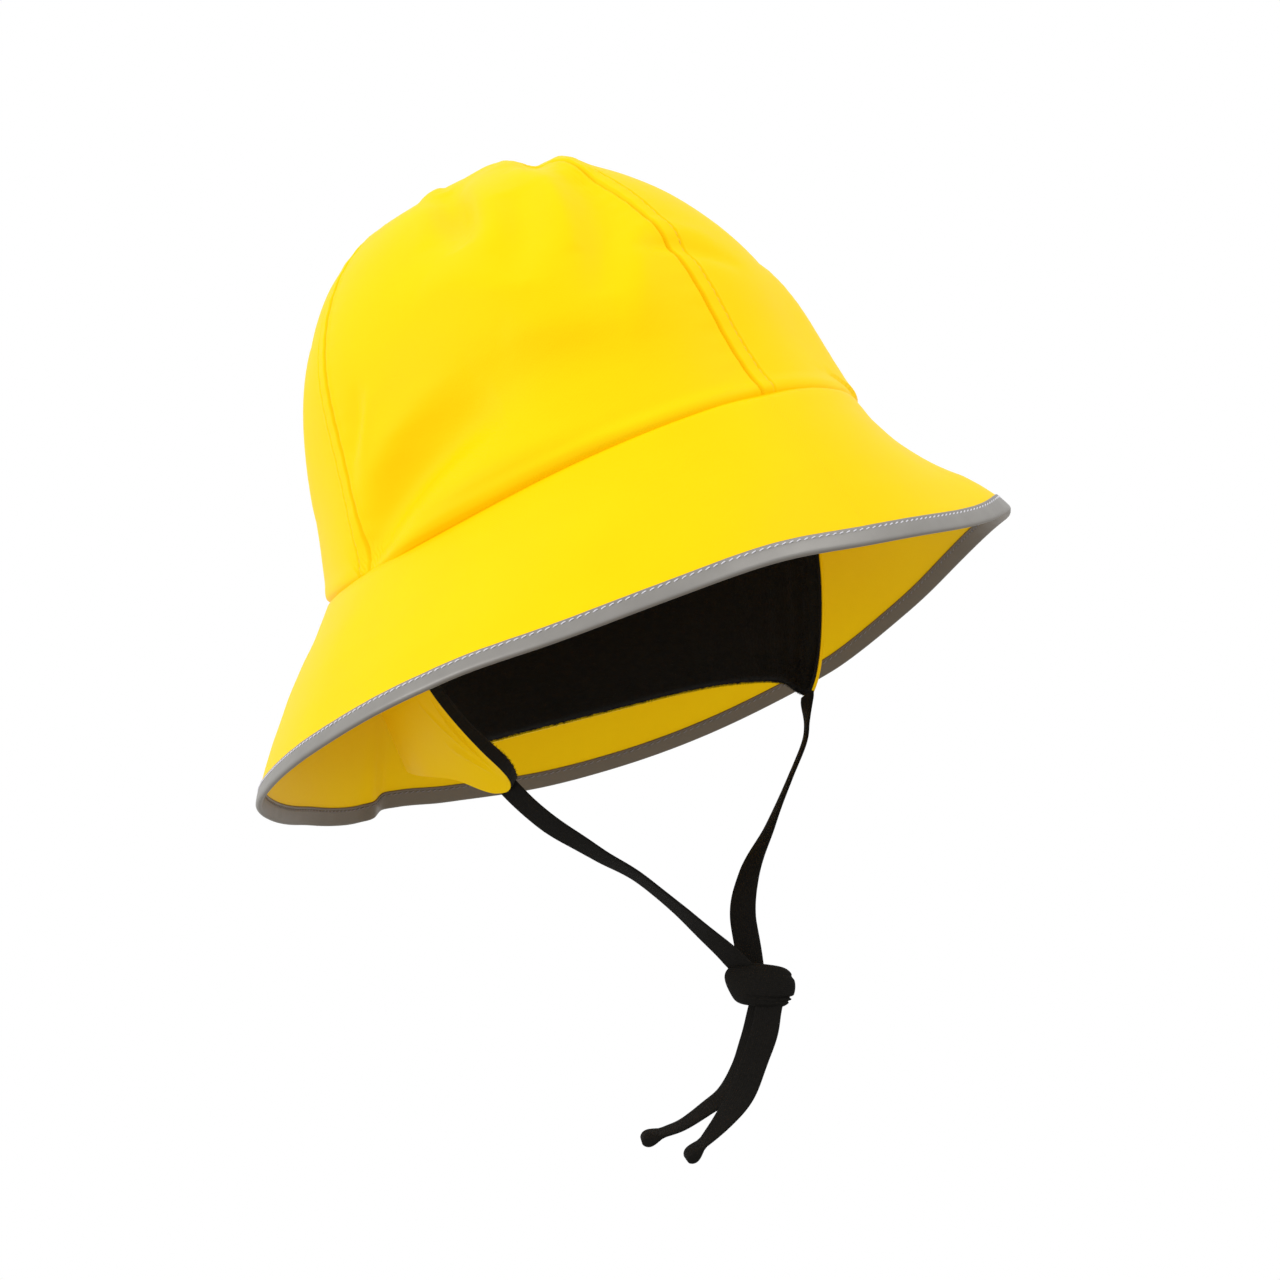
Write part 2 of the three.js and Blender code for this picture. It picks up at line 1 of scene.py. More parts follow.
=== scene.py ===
# %% [markdown]
# # A sou'wester in coated cloth
# A sou'wester is a rain hat. Its crown is sewn from panels, its brim flares out to throw the rain clear of
# the neck, and a fleece-lined flap hangs inside the brim over the ears. Two flat ties hold it under the
# chin. The imported hat gives the form and the sizes. This file dresses it: the cloth is laid on the packed
# solids that it stands for. Only the ties, the knot and the finer folds are placed one by one, close to the
# packed ones.

# %% Load the imported hat
import math
import bmesh
import bpy
import numpy as np
from mathutils import Matrix, Vector
from mathutils.bvhtree import BVHTree


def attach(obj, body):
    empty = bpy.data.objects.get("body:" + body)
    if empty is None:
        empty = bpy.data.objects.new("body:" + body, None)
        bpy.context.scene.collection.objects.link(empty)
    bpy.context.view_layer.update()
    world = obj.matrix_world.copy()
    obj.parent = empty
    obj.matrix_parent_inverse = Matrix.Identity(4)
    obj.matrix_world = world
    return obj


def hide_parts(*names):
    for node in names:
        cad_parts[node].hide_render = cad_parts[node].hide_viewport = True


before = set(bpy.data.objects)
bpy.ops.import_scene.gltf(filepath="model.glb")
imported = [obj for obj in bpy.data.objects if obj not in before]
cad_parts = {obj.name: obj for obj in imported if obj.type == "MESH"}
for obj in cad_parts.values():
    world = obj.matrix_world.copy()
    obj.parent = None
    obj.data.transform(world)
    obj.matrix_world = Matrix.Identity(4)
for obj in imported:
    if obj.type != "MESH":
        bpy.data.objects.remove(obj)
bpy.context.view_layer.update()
MM = 0.001

# %% [markdown]
# ## The camera
# A product photograph of a hat is taken a little from below, so that the lining shows, and the hat leans in
# the picture. The camera is turned about its own axis for that lean: the hat itself stays upright, so every
# other view shows it level. A long lens from well back keeps the brim from looking swollen.

# %% Camera
AZIMUTH = math.radians(-35.71)
ELEVATION = math.radians(-7.69)
LEAN = math.radians(19.93)
DISTANCE = 1.367
AIM_HEIGHT = -0.0447
PIXELS_PER_MM = 3.107
IMAGE_PIXELS = 1280
FOCAL_SHARE = PIXELS_PER_MM * DISTANCE / MM / IMAGE_PIXELS

camera_back = Vector((
    math.sin(AZIMUTH) * math.cos(ELEVATION),
    -math.cos(AZIMUTH) * math.cos(ELEVATION),
    math.sin(ELEVATION),
))
level_right = Vector((math.cos(AZIMUTH), math.sin(AZIMUTH), 0))
level_up = camera_back.cross(level_right)
image_right = math.cos(LEAN) * level_right - math.sin(LEAN) * level_up
image_up = math.sin(LEAN) * level_right + math.cos(LEAN) * level_up

camera = bpy.data.objects.new("camera", bpy.data.cameras.new("camera"))
bpy.context.collection.objects.link(camera)
camera.data.sensor_width = 36
camera.data.lens = FOCAL_SHARE * camera.data.sensor_width
camera.location = AIM_HEIGHT * level_up + DISTANCE * camera_back
camera.rotation_mode = "QUATERNION"
camera.rotation_quaternion = Matrix((image_right, image_up, camera_back)).transposed().to_quaternion()
bpy.context.scene.camera = camera
print("lens, mm:", round(camera.data.lens, 1))

# %% [markdown]
# ## Colour and nodes
# Colours are easiest to compare with a real thing as the hex values that a screen shows, but a shader works
# in linear light, so one function turns the first into the second. Another adds a node, sets it and links
# it.

# %% Helpers for materials
def colour(hex_value):
    """The linear colour of an sRGB hex value such as #FFE21A."""
    parts = [int(hex_value[place:place + 2], 16) / 255 for place in (1, 3, 5)]
    linear = [part / 12.92 if part <= 0.04045 else ((part + 0.055) / 1.055) ** 2.4 for part in parts]
    return (*linear, 1)


def add_node(tree, kind, inputs=(), **settings):
    """A node with its settings, and its inputs set to values or linked to other nodes' sockets."""
    node = tree.nodes.new(kind)
    for name, value in settings.items():
        setattr(node, name, value)
    for name, value in dict(inputs).items():
        if isinstance(value, bpy.types.NodeSocket):
            tree.links.new(value, node.inputs[name])
        else:
            node.inputs[name].default_value = value
    return node


def new_material(name):
    """An empty material: its node tree and its output node."""
    material = bpy.data.materials.new(name)
    material.use_nodes = True
    material.node_tree.nodes.clear()
    output = add_node(material.node_tree, "ShaderNodeOutputMaterial")
    return material, material.node_tree, output


# %% [markdown]
# ## The ties: flat knitted elastic
# The ties are flat black elastic. Rubber threads run along it inside a knitted polyester cover, so it shows
# fine ribs along its length, a soft matt surface and slightly rounded edges. A ribbon swept along a route
# is made directly, point by point, because a simulation or a remesh would lose its thin edges. The ribs are
# a pattern in the material: each vertex carries its place in millimetres along and across the ribbon.

# %% Black knitted elastic
RIB_PITCH = 0.7
STITCH_PITCH = 1.1


def knitted_elastic():
    """Black polyester-covered elastic: matt, with ribs along it and knit stitches across them."""
    material, tree, output = new_material("black knitted elastic")
    place = add_node(tree, "ShaderNodeAttribute", attribute_name="cloth_mm")
    parts = add_node(tree, "ShaderNodeSeparateXYZ", {"Vector": place.outputs["Vector"]})
    across = add_node(tree, "ShaderNodeMath", {0: parts.outputs["X"], 1: math.tau / RIB_PITCH},
                      operation="MULTIPLY")
    rib = add_node(tree, "ShaderNodeMath", {0: across.outputs[0]}, operation="SINE")
    along = add_node(tree, "ShaderNodeMath", {0: parts.outputs["Y"], 1: math.tau / STITCH_PITCH},
                     operation="MULTIPLY")
    knit = add_node(tree, "ShaderNodeMath", {0: along.outputs[0]}, operation="SINE")
    woven = add_node(tree, "ShaderNodeMath", {0: knit.outputs[0], 1: 0.35, 2: rib.outputs[0]},
                     operation="MULTIPLY_ADD")
    lint = add_node(tree, "ShaderNodeTexNoise", {
        "Vector": place.outputs["Vector"], "Scale": 0.9, "Detail": 6.0})
    shades = add_node(tree, "ShaderNodeMix", {
        0: lint.outputs["Fac"], 6: colour("#12110F"), 7: colour("#1F1D1B")}, data_type="RGBA")
    bump = add_node(tree, "ShaderNodeBump", {
        "Height": woven.outputs[0], "Strength": 0.35, "Distance": 0.12 * MM})
    surface = add_node(tree, "ShaderNodeBsdfPrincipled", {
        "Base Color": shades.outputs[2], "Roughness": 0.8, "IOR": 1.5, "Normal": bump.outputs["Normal"],
        "Specular IOR Level": 0.05})
    tree.links.new(surface.outputs["BSDF"], output.inputs["Surface"])
    return material


elastic = knitted_elastic()
print("material:", elastic.name)

# %% [markdown]
# ## Meshes from rows of points
# Every soft piece here is a wall: a grid of points for one face of the cloth, a second grid for the other
# face, and edges that join the two. One function makes them all. A ribbon is a wall too, with a grid of its
# front face and one of its back.

# %% A closed wall from two grids of points
def wall(name, outer, inner, material, places, ring=False, shift=0):
    """A closed mesh between two grids of points, columns by rows; a ring's last column joins its first.

    The places are those of the outer face on its cloth. The inner face has the same ones, shifted along.
    """
    columns, rows, _ = outer.shape
    points = np.concatenate([outer.reshape(-1, 3), inner.reshape(-1, 3)]) * MM
    spans = columns if ring else columns - 1
    column, row = np.meshgrid(np.arange(spans), np.arange(rows - 1), indexing="ij")
    after = (column + 1) % columns
    near, far = column * rows + row, after * rows + row
    front = np.stack([near, far, far + 1, near + 1], axis=-1).reshape(-1, 4)
    back = front[:, ::-1] + columns * rows
    edges = []
    for edge_row in (0, rows - 1):
        one = np.arange(spans) * rows + edge_row
        other = (np.arange(spans) + 1) % columns * rows + edge_row
        edges.append(np.stack([one, other, other + columns * rows, one + columns * rows], axis=-1))
    if not ring:
        for edge_column in (0, columns - 1):
            one = edge_column * rows + np.arange(rows - 1)
            edges.append(np.stack([one, one + 1, one + 1 + columns * rows, one + columns * rows], axis=-1))
    faces = np.concatenate([front, back, *edges])
    places = np.concatenate([places, places + [0, shift, 0]])
    return finished_mesh(name, points, faces, material, places)


def finished_mesh(name, points, faces, material, places):
    """A smooth object on the hat's one body, with its places on the cloth in millimetres kept per point."""
    mesh = bpy.data.meshes.new(name)
    mesh.from_pydata(points.tolist(), [], faces.tolist())
    attribute = mesh.attributes.new("cloth_mm", "FLOAT_VECTOR", "POINT")
    attribute.data.foreach_set("vector", places.reshape(-1).astype(np.float32))
    edit = bmesh.new()
    edit.from_mesh(mesh)
    bmesh.ops.remove_doubles(edit, verts=edit.verts, dist=0.002 * MM)
    bmesh.ops.recalc_face_normals(edit, faces=edit.faces)
    edit.to_mesh(mesh)
    edit.free()
    mesh.shade_smooth()
    mesh.set_sharp_from_angle(angle=math.radians(60))
    mesh.materials.append(material)
    piece = bpy.data.objects.new(name, mesh)
    bpy.context.collection.objects.link(piece)
    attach(piece, "root")
    return piece


def cloth_places(across, along):
    """Places on the cloth in millimetres, from how far across it and how far along it each point lies."""
    return np.stack(np.broadcast_arrays(across, along, 0.0), axis=-1)


# %% [markdown]
# ## The ties' routes
# The left tie and the right tie leave the tips of the flap, run down under the chin and meet in the knot.
# Their tails leave the knot together. The points lie close to the imported ties and are listed here. The
# fourth number turns the flat face about the ribbon's length, which is what makes a hanging tie twist. Each
# tie runs a little way on into the flap and into the knot, and each tail back into the knot, so that no gap
# shows there.

# %% Routes and ribbons
TIE_WIDTH = 8.5
TIE_THICKNESS = 1.1
TIE_FACING = np.array([-0.58, -0.81, -0.1])
TIE_FACING /= np.linalg.norm(TIE_FACING)

ROUTES = {
    "tie_right": [
        (-60.9, 10.0, -76.0, 42), (-56.6, 7.6, -86.8, 45), (-49.4, 6.6, -96.4, 48), (-38.6, 6.1, -107.4, 60),
        (-27.6, 5.6, -118.0, 68), (-17.7, 5.0, -131.5, 64), (-8.3, 4.3, -146.2, 48), (-5.4, 4.1, -151.0, 42),
    ],
    "tie_left": [
        (60.4, 7.2, -77.7, 66), (57.2, 7.2, -84.6, 84), (52.1, 6.8, -91.5, 84), (40.6, 6.0, -101.8, 84),
        (27.0, 5.2, -113.8, 74), (13.2, 6.0, -126.6, 44), (6.2, 7.0, -138.8, 12), (2.5, 6.4, -152.5, 0),
    ],
    "tail_left": [
        (-0.6, 2.0, -170.2, 0), (-2.9, 4.3, -175.7, 0), (-6.1, 7.6, -181.4, 0), (-10.4, 11.8, -188.6, 8),
        (-14.2, 15.4, -193.4, 25), (-19.6, 20.1, -198.2, 50), (-25.4, 24.9, -202.1, 72),
    ],
    "tail_right": [
        (1.8, 8.4, -168.0, 25), (-2.6, 14.4, -177.4, 35), (-6.5, 18.3, -183.9, 45), (-12.3, 23.5, -189.8, 55),
        (-17.8, 27.8, -192.3, 62), (-24.9, 33.3, -194.5, 70), (-30.1, 37.0, -194.8, 74),
    ],
}


def between(rows, places):
    """Values of a smooth curve through rows of numbers, at places counted in rows."""
    rows = np.asarray(rows, dtype=float)
    first = 2 * rows[:1] - rows[1:2]
    last = 2 * rows[-1:] - rows[-2:-1]
    padded = np.concatenate([first, rows, last])
    row = np.clip(np.floor(places).astype(int), 0, len(rows) - 2)
    share = (places - row)[:, None]
    before, start, end, after = (padded[row + step] for step in range(4))
    bend = 2 * before - 5 * start + 4 * end - after
    twist = -before + 3 * start - 3 * end + after
    return 0.5 * (2 * start + share * (end - before + share * (bend + share * twist)))


def unit(vectors):
    """The same directions with length one."""
    return vectors / np.linalg.norm(vectors, axis=-1, keepdims=True)


def travelled_along(points):
    """How far along a line of points each of them lies."""
    return np.concatenate([[0], np.cumsum(np.linalg.norm(np.diff(points, axis=0), axis=1))])


ROUTE_STEP = 0.8
DENSE_STEPS = 400


def route_frames(route):
    """Points, tangents and flat-face directions along a route, about one for each route step."""
    dense = between(route, np.linspace(0, len(route) - 1, DENSE_STEPS))
    travelled = travelled_along(dense[:, :3])
    wanted = np.linspace(0, travelled[-1], int(travelled[-1] / ROUTE_STEP) + 1)
    rows = np.stack([np.interp(wanted, travelled, dense[:, part]) for part in range(4)], axis=1)
    points = rows[:, :3]
    tangents = unit(np.gradient(points, axis=0))
    level = unit(TIE_FACING - tangents * (tangents @ TIE_FACING)[:, None])
    side = np.cross(tangents, level)
    turn = np.radians(rows[:, 3])[:, None]
    facing = level * np.cos(turn) + side * np.sin(turn)
    return points, tangents, facing, wanted


KNOT_GRIP = 5.0
SEWN_IN = 2.5
SECTION_STEPS = 25
EDGE_ROUNDNESS = 0.35
EDGE_WANDER = 0.12
WANDER_LENGTH = 3.1


def continued(route, before, after):
    """The route with a straight piece added before its start and after its end, each with its length."""
    rows = np.array(route, dtype=float)
    if before:
        start = rows[0, :3] + unit(rows[0, :3] - rows[1, :3]) * before
        rows = np.concatenate([[[*start, rows[0, 3]]], rows])
    if after:
        end = rows[-1, :3] + unit(rows[-1, :3] - rows[-2, :3]) * after
        rows = np.concatenate([rows, [[*end, rows[-1, 3]]]])
    return rows


def flat_section():
    """Across a tie: places from edge to edge, and the share of its thickness that it has at each."""
    turns = np.linspace(0, math.pi, SECTION_STEPS)
    return -np.cos(turns) * TIE_WIDTH / 2, np.clip(np.sin(turns), 0, None) ** EDGE_ROUNDNESS


def ribbon(name):
    """One flat elastic along its route, with soft edges; it also returns its route and its length in metres.
    """
    grips = (KNOT_GRIP, 0) if name.startswith("tail") else (SEWN_IN, KNOT_GRIP)
    points, tangents, facing, travelled = route_frames(continued(ROUTES[name], *grips))
    across = np.cross(tangents, facing)
    offset, rise = flat_section()
    wander = EDGE_WANDER * np.sin(travelled / WANDER_LENGTH)[:, None] * np.abs(offset / TIE_WIDTH * 2) ** 3
    middle = points[:, None] + across[:, None] * (offset + wander)[..., None]
    lift = facing[:, None] * (rise * TIE_THICKNESS / 2)[None, :, None]
    places = cloth_places(offset[None, :], travelled[:, None])
    piece = wall(f"{name}_ribbon", middle + lift, middle - lift, elastic, places)
    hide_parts(name)
    print(name, "is", round(travelled[-1], 1), "mm long")
    return piece, points * MM, travelled[-1] * MM


ribbons = {name: ribbon(name) for name in ROUTES}

# %% [markdown]
# ## The folded ends
# A tie's end is folded over twice and sewn, so that it can't fray or slip through the knot. From the side
# the fold is a small drop. It is made as a ribbon of its own whose thickness swells and rounds off.

# %% Folded and sewn ends
END_LENGTH = 8.0
END_DEPTH = 4.6
END_STEPS = 30
END_NARROWING = 0.34
END_SEAM_PLACE = 1.6
END_SEAM_WIDTH = 0.35
END_SEAM_DEPTH = 0.12


def bump_at(distance):
    """A soft hump: one at distance zero, fading out beyond one."""
    return np.exp(-distance ** 2)


def folded_end(name, tail):
    """The drop-shaped end beyond a tail: it thickens from the tie's depth to the fold's, then rounds off."""
    points, tangents, facing, _ = route_frames(ROUTES[tail])
    forward, face = tangents[-1], facing[-1]
    side = np.cross(forward, face)
    along = (1 - np.cos(np.linspace(0, math.pi, END_STEPS))) / 2 * END_LENGTH
    far = END_LENGTH - END_DEPTH / 2
    growth = np.sin(np.clip(along / far, 0, 1) * math.pi / 2) ** 2
    swell = TIE_THICKNESS / 2 + (END_DEPTH - TIE_THICKNESS) / 2 * growth
    rounding = np.sqrt(np.clip(1 - (np.clip(along - far, 0, None) / (END_DEPTH / 2)) ** 2, 0, 1))
    offset, rise = flat_section()
    crease = 1 - END_SEAM_DEPTH * bump_at((along - END_SEAM_PLACE) / END_SEAM_WIDTH)
    narrowing = 1 - END_NARROWING * np.clip(along / END_LENGTH, 0, 1) ** 3
    middle = points[-1] + along[:, None, None] * forward + (narrowing[:, None] * offset)[..., None] * side
    lift = (swell * rounding * crease)[:, None, None] * rise[None, :, None] * face
    places = cloth_places(offset[None, :], along[:, None])
    piece = wall(f"{name}_fold", middle + lift, middle - lift, elastic, places)
    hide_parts(name)
    return piece


ends = {side: folded_end(f"tail_end_{side}", f"tail_{side}") for side in ("right", "left")}
print("folded ends:", sorted(piece.name for piece in ends.values()))

# %% [markdown]
# ## The knot under the chin
# One tie is wrapped round the other and pulled tight. What shows is a broad smooth turn of elastic, with
# the edges of a second turn under it. Tying it for real would need a rope simulation and gain nothing that
# can be seen, so it is a barrel whose skin carries the grooves between the turns.

# %% Knot
KNOT_CENTRE = np.array([0.4, 3.7, -161.6])
KNOT_TURN = math.radians(-36)
KNOT_TILT = math.radians(26)
KNOT_SIZE = np.array([22.5, 12.5, 13.5])
KNOT_COLUMNS = 160
KNOT_ROWS = 90
KNOT_BLUNTNESS = 0.42
KNOT_PINCH = 0.2
KNOT_UNEVENNESS = 0.03


def ramp(value, low, high):
    """A smooth step from 0 at low to 1 at high."""
    share = np.clip((value - low) / (high - low), 0, 1)
    return share * share * (3 - 2 * share)


def knot_grooves(turn, height):
    """Depth of the grooves between the knot's turns: two under the broad turn and a faint one above it."""
    toward_right = ramp(np.cos(turn), -0.55, 0.1)
    lower_turn = -0.30 + 0.10 * np.cos(turn) ** 2
    upper_turn = 0.36 - 0.08 * np.cos(turn)
    second = 0.07 * bump_at((height - lower_turn + 0.10) / 0.025)
    below = 0.10 * bump_at((height - lower_turn) / 0.03) + second
    return below * toward_right + 0.05 * bump_at((height - upper_turn) / 0.05)


def knot_radius(turn, angle, height):
    """The knot's radius as a share of its half width: blunt, pinched where the ties leave, uneven."""
    pinched = 1 - KNOT_PINCH * ramp(-np.cos(turn), 0.3, 1.0) * ramp(-height, -0.25, 0.4)
    uneven = KNOT_UNEVENNESS * np.cos(2 * turn + 3 * height)
    barrel = np.clip(np.cos(angle), 0, None) ** KNOT_BLUNTNESS
    return barrel * pinched * (1 - knot_grooves(turn, height) + uneven)


def knot():
    """A closed barrel of wrapped elastic, turned as it hangs."""
    turns, rises = np.linspace(0, math.tau, KNOT_COLUMNS, endpoint=False), np.linspace(-1, 1, KNOT_ROWS)
    turn, rise = np.meshgrid(turns, rises, indexing="ij")
    angle = np.sign(rise) * np.abs(rise) ** 0.8 * math.pi / 2
    height = np.sin(angle) * 0.5
    radius = knot_radius(turn, angle, height)
    local = np.stack([radius * np.cos(turn) / 2, radius * np.sin(turn) / 2, height], axis=-1) * KNOT_SIZE
    tilt = np.array(Matrix.Rotation(KNOT_TURN, 3, "Z") @ Matrix.Rotation(KNOT_TILT, 3, "Y"))
    skin = local @ tilt.T + KNOT_CENTRE
    places = cloth_places(height * KNOT_SIZE[2], turn * KNOT_SIZE[0] / 2)
    column, row = np.meshgrid(np.arange(KNOT_COLUMNS), np.arange(KNOT_ROWS - 1), indexing="ij")
    near, far = column * KNOT_ROWS + row, (column + 1) % KNOT_COLUMNS * KNOT_ROWS + row
    faces = np.stack([near, far, far + 1, near + 1], axis=-1).reshape(-1, 4)
    return finished_mesh("chin_knot_turns", skin.reshape(-1, 3) * MM, faces, elastic, places)


chin_knot = knot()
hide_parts("chin_knot")
print("knot, mm:", [round(value / MM, 1) for value in chin_knot.dimensions])

# %% [markdown]
# ## Ties and tails
# A tie runs from the flap into the knot, and a tail from the knot to its sewn end. Elastic of this kind is
# limp.

# %% [markdown]
# ## Reading the form of the hat
# The imported solids are plain: few faces, sharp joins and a small gap at each seam. The cloth is laid over
# them like cloth over a block. Rays find the solid's outer face on a regular grid, the grid is smoothed a
# little so that no facet shows, and a smooth curve through it gives the face at any place. Subdividing the
# solids was the other way, but a regular grid also tells how far each point is from its seam, which the
# seams need.

# %% Rays onto the imported solids
COARSE_COLUMNS = 96
coarse_angles = np.arange(COARSE_COLUMNS) * 360 / COARSE_COLUMNS


def solid_points(name):
    """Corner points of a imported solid, in millimetres."""
    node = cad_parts[name]
    return np.array([node.matrix_world @ vertex.co for vertex in node.data.vertices]) / MM


def solid_tree(*names):
    """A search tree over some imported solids, in millimetres."""
    points, triangles = [], []
    for name in names:
        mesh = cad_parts[name].data
        mesh.calc_loop_triangles()
        first = len(points)
        points += solid_points(name).tolist()
        triangles += [[first + index for index in triangle.vertices] for triangle in mesh.loop_triangles]
    return BVHTree.FromPolygons(points, triangles)


def outward(angle):
    """The level direction at an angle round the hat: 0 at the front, 90 at the wearer's left."""
    return Vector((math.sin(math.radians(angle)), -math.cos(math.radians(angle)), 0))


REACH = 200


def first_hit(tree, start, direction):
    """Where a ray first meets the near side of the solid, or None."""
    return tree.ray_cast(start, direction.normalized(), REACH)[0]


def smoothed(grid):
    """The grid with each inner point moved a little towards its neighbours; its columns form a ring."""
    ring = (np.roll(grid, 1, axis=0) + 2 * grid + np.roll(grid, -1, axis=0)) / 4
    ring[:, 1:-1] = (ring[:, :-2] + 2 * ring[:, 1:-1] + ring[:, 2:]) / 4
    return ring


def on_grid(grid, columns, rows, ring=True):
    """Points of a smooth surface through a grid, at places counted in columns and rows."""
    def weights(share):
        return [(-share + 2 * share ** 2 - share ** 3) / 2, (2 - 5 * share ** 2 + 3 * share ** 3) / 2,
                (share + 4 * share ** 2 - 3 * share ** 3) / 2, (share ** 3 - share ** 2) / 2]

    padded = np.concatenate([2 * grid[:, :1] - grid[:, 1:2], grid, 2 * grid[:, -1:] - grid[:, -2:-1]], axis=1)
    if ring:
        padded = np.concatenate([padded[-1:], padded, padded[:2]])
        column = np.floor(columns).astype(int)
        columns, column = columns - column, column % len(grid)
    else:
        padded = np.concatenate([2 * padded[:1] - padded[1:2], padded, 2 * padded[-1:] - padded[-2:-1]])
        column = np.clip(np.floor(columns).astype(int), 0, len(grid) - 2)
        columns = columns - column
    row = np.clip(np.floor(rows).astype(int), 0, grid.shape[1] - 2)
    result = 0
    for column_step, column_weight in enumerate(weights(columns)):
        for row_step, row_weight in enumerate(weights(rows - row)):
            corner = padded[column + column_step, row + row_step]
            result = result + (column_weight * row_weight)[..., None] * corner
    return result


# %% Crown form
CROWN_ROWS = 30
CROWN_HEART = 58.0
CROWN_LEAN = 11.0
PANELS = ("crown_panel_front_left", "crown_panel_back_left",
          "crown_panel_back_right", "crown_panel_front_right")
crown_tree = solid_tree(*PANELS)


def crown_edge_height(angle):
    """Height of the crown's lower edge: the lowest level ray that meets it."""
    for height in np.arange(-12, 15, 0.1):
        start = outward(angle) * REACH + Vector((0, 0, height))
        if first_hit(crown_tree, start, -outward(angle)):
            return height
    raise ValueError("the crown has no lower edge here")


def crown_ray(angle, rise):
    """Start and direction of a ray at the crown: level at its edge, straight down at its top."""
    steep = math.radians(90 * rise)
    direction = outward(angle) * math.cos(steep) + Vector((0, 0, math.sin(steep)))
    edge = crown_edges[angle]
    heart = Vector((0, CROWN_LEAN * rise, edge + 0.1 + (CROWN_HEART - edge) * rise ** 0.7))
    return heart + direction * REACH, -direction


crown_edges = {angle: crown_edge_height(angle + 0.4) for angle in coarse_angles}
crown_rises = np.linspace(0, 0.93, CROWN_ROWS - 1)
crown_grid = np.array([
    [first_hit(crown_tree, *crown_ray(angle, rise)) or (math.nan,) * 3 for rise in crown_rises]
    for angle in coarse_angles
])
print("rays that slipped through a seam:", int(np.isnan(crown_grid[..., 0]).sum()))

# %% [markdown]
# A few rays run through the small gaps between the panels and find nothing, or find the far side from
# within. Such a place is filled from its neighbours round the crown. The top itself is the mean of the last
# ring.

# %% Mend and smooth the crown's form
def mended(grid, limit=6.0):
    """The grid with its missing and stray places filled from their neighbours round each ring."""
    middle = (np.roll(grid, 1, axis=0) + np.roll(grid, -1, axis=0)) / 2
    wrong = np.isnan(grid[..., 0]) | (np.linalg.norm(grid - middle, axis=-1) > limit)
    result = grid.copy()
    columns = np.arange(len(grid))
    for row in range(grid.shape[1]):
        good = ~wrong[:, row]
        for part in range(3):
            result[:, row, part] = np.interp(columns, columns[good], grid[good, row, part], period=len(grid))
    return result


crown_top = np.nanmean(crown_grid[:, -1], axis=0) + [0, 0, 0.4]
crown_grid = np.concatenate([mended(crown_grid), np.tile(crown_top, (COARSE_COLUMNS, 1, 1))], axis=1)
crown_grid = smoothed(smoothed(crown_grid))
row_lengths = np.linalg.norm(np.diff(crown_grid, axis=1), axis=-1).mean(axis=0)
row_heights = np.concatenate([[0], np.cumsum(row_lengths)])
print("crown, seam to top along the cloth, mm:", round(row_heights[-1], 1))


def crown_at(angles, climbs):
    """Points of the crown's form at angles round it and at distances up its cloth from the seam, in mm."""
    rows = np.interp(climbs, row_heights, np.arange(CROWN_ROWS))
    return on_grid(crown_grid, np.asarray(angles) / 360 * COARSE_COLUMNS, rows)


# %% [markdown]
# ## Where the panels meet
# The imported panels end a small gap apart. Their facing edges are found as the points of one panel that lie
# close to the next, and each is looked up on the form, which gives the seam's angle at every height.

# %% Seam lines
CLOSE = 0.6
TREND_DEGREE = 4
TREND_SHARE = 0.9
SEAM_ROWS = 24
look_angles = np.arange(0, 360, 0.5)
look_climbs = np.arange(0, row_heights[-1], 0.75)
look_points = crown_at(*np.meshgrid(look_angles, look_climbs, indexing="ij"))


def place_on_crown(point):
    """Angle round the crown and distance up its cloth of the place nearest to a point."""
    distance = np.linalg.norm(look_points - point, axis=-1)
    column, row = np.unravel_index(distance.argmin(), distance.shape)
    return look_angles[column], look_climbs[row]


def within_half_turn(angle):
    """The same angle, between -180 and 180 degrees."""
    return (angle + 180) % 360 - 180


def seam_line(panel, next_panel, middle):
    """The angle of the seam between two panels at each distance up the cloth, as two matching lists."""
    one, other = solid_points(panel), solid_points(next_panel)
    gaps = np.linalg.norm(one[:, None] - other[None], axis=-1).min(axis=1)
    places = np.array([place_on_crown(point) for point in one[gaps < CLOSE]])
    angles = within_half_turn(places[:, 0] - middle) + middle
    order = np.argsort(places[:, 1])
    climbs, angles = places[order, 1], angles[order]
    kept = climbs < TREND_SHARE * row_heights[-1]
    trend = np.polyfit(climbs[kept] / row_heights[-1], angles[kept], TREND_DEGREE)
    climbs = np.linspace(0, row_heights[-1], SEAM_ROWS)
    return climbs, np.polyval(trend, climbs / row_heights[-1])


SEAMS = [seam_line(PANELS[index - 1], PANELS[index], 90 * index) for index in range(4)]
for index, (_, angles) in enumerate(SEAMS):
    print("seam", index, "from", round(angles[0], 1), "to", round(angles[-1], 1), "degrees")

# %% [markdown]
# ## Coated cloth
# Rain hats of this kind are cut from polyester cloth with a coat of polyurethane. The coat fills the weave,
# so the eye gets a smooth lemon yellow with a wide, soft sheen and hardly any thread. The weave is about
# 0.4 mm, too fine for the picture, so it is drawn at 1 mm and kept faint. Handling leaves slow changes of
# shade and small dimples, which come from noise at 20 mm and 3 mm.

# %% Yellow coated cloth
WEAVE_PITCH = 1.0


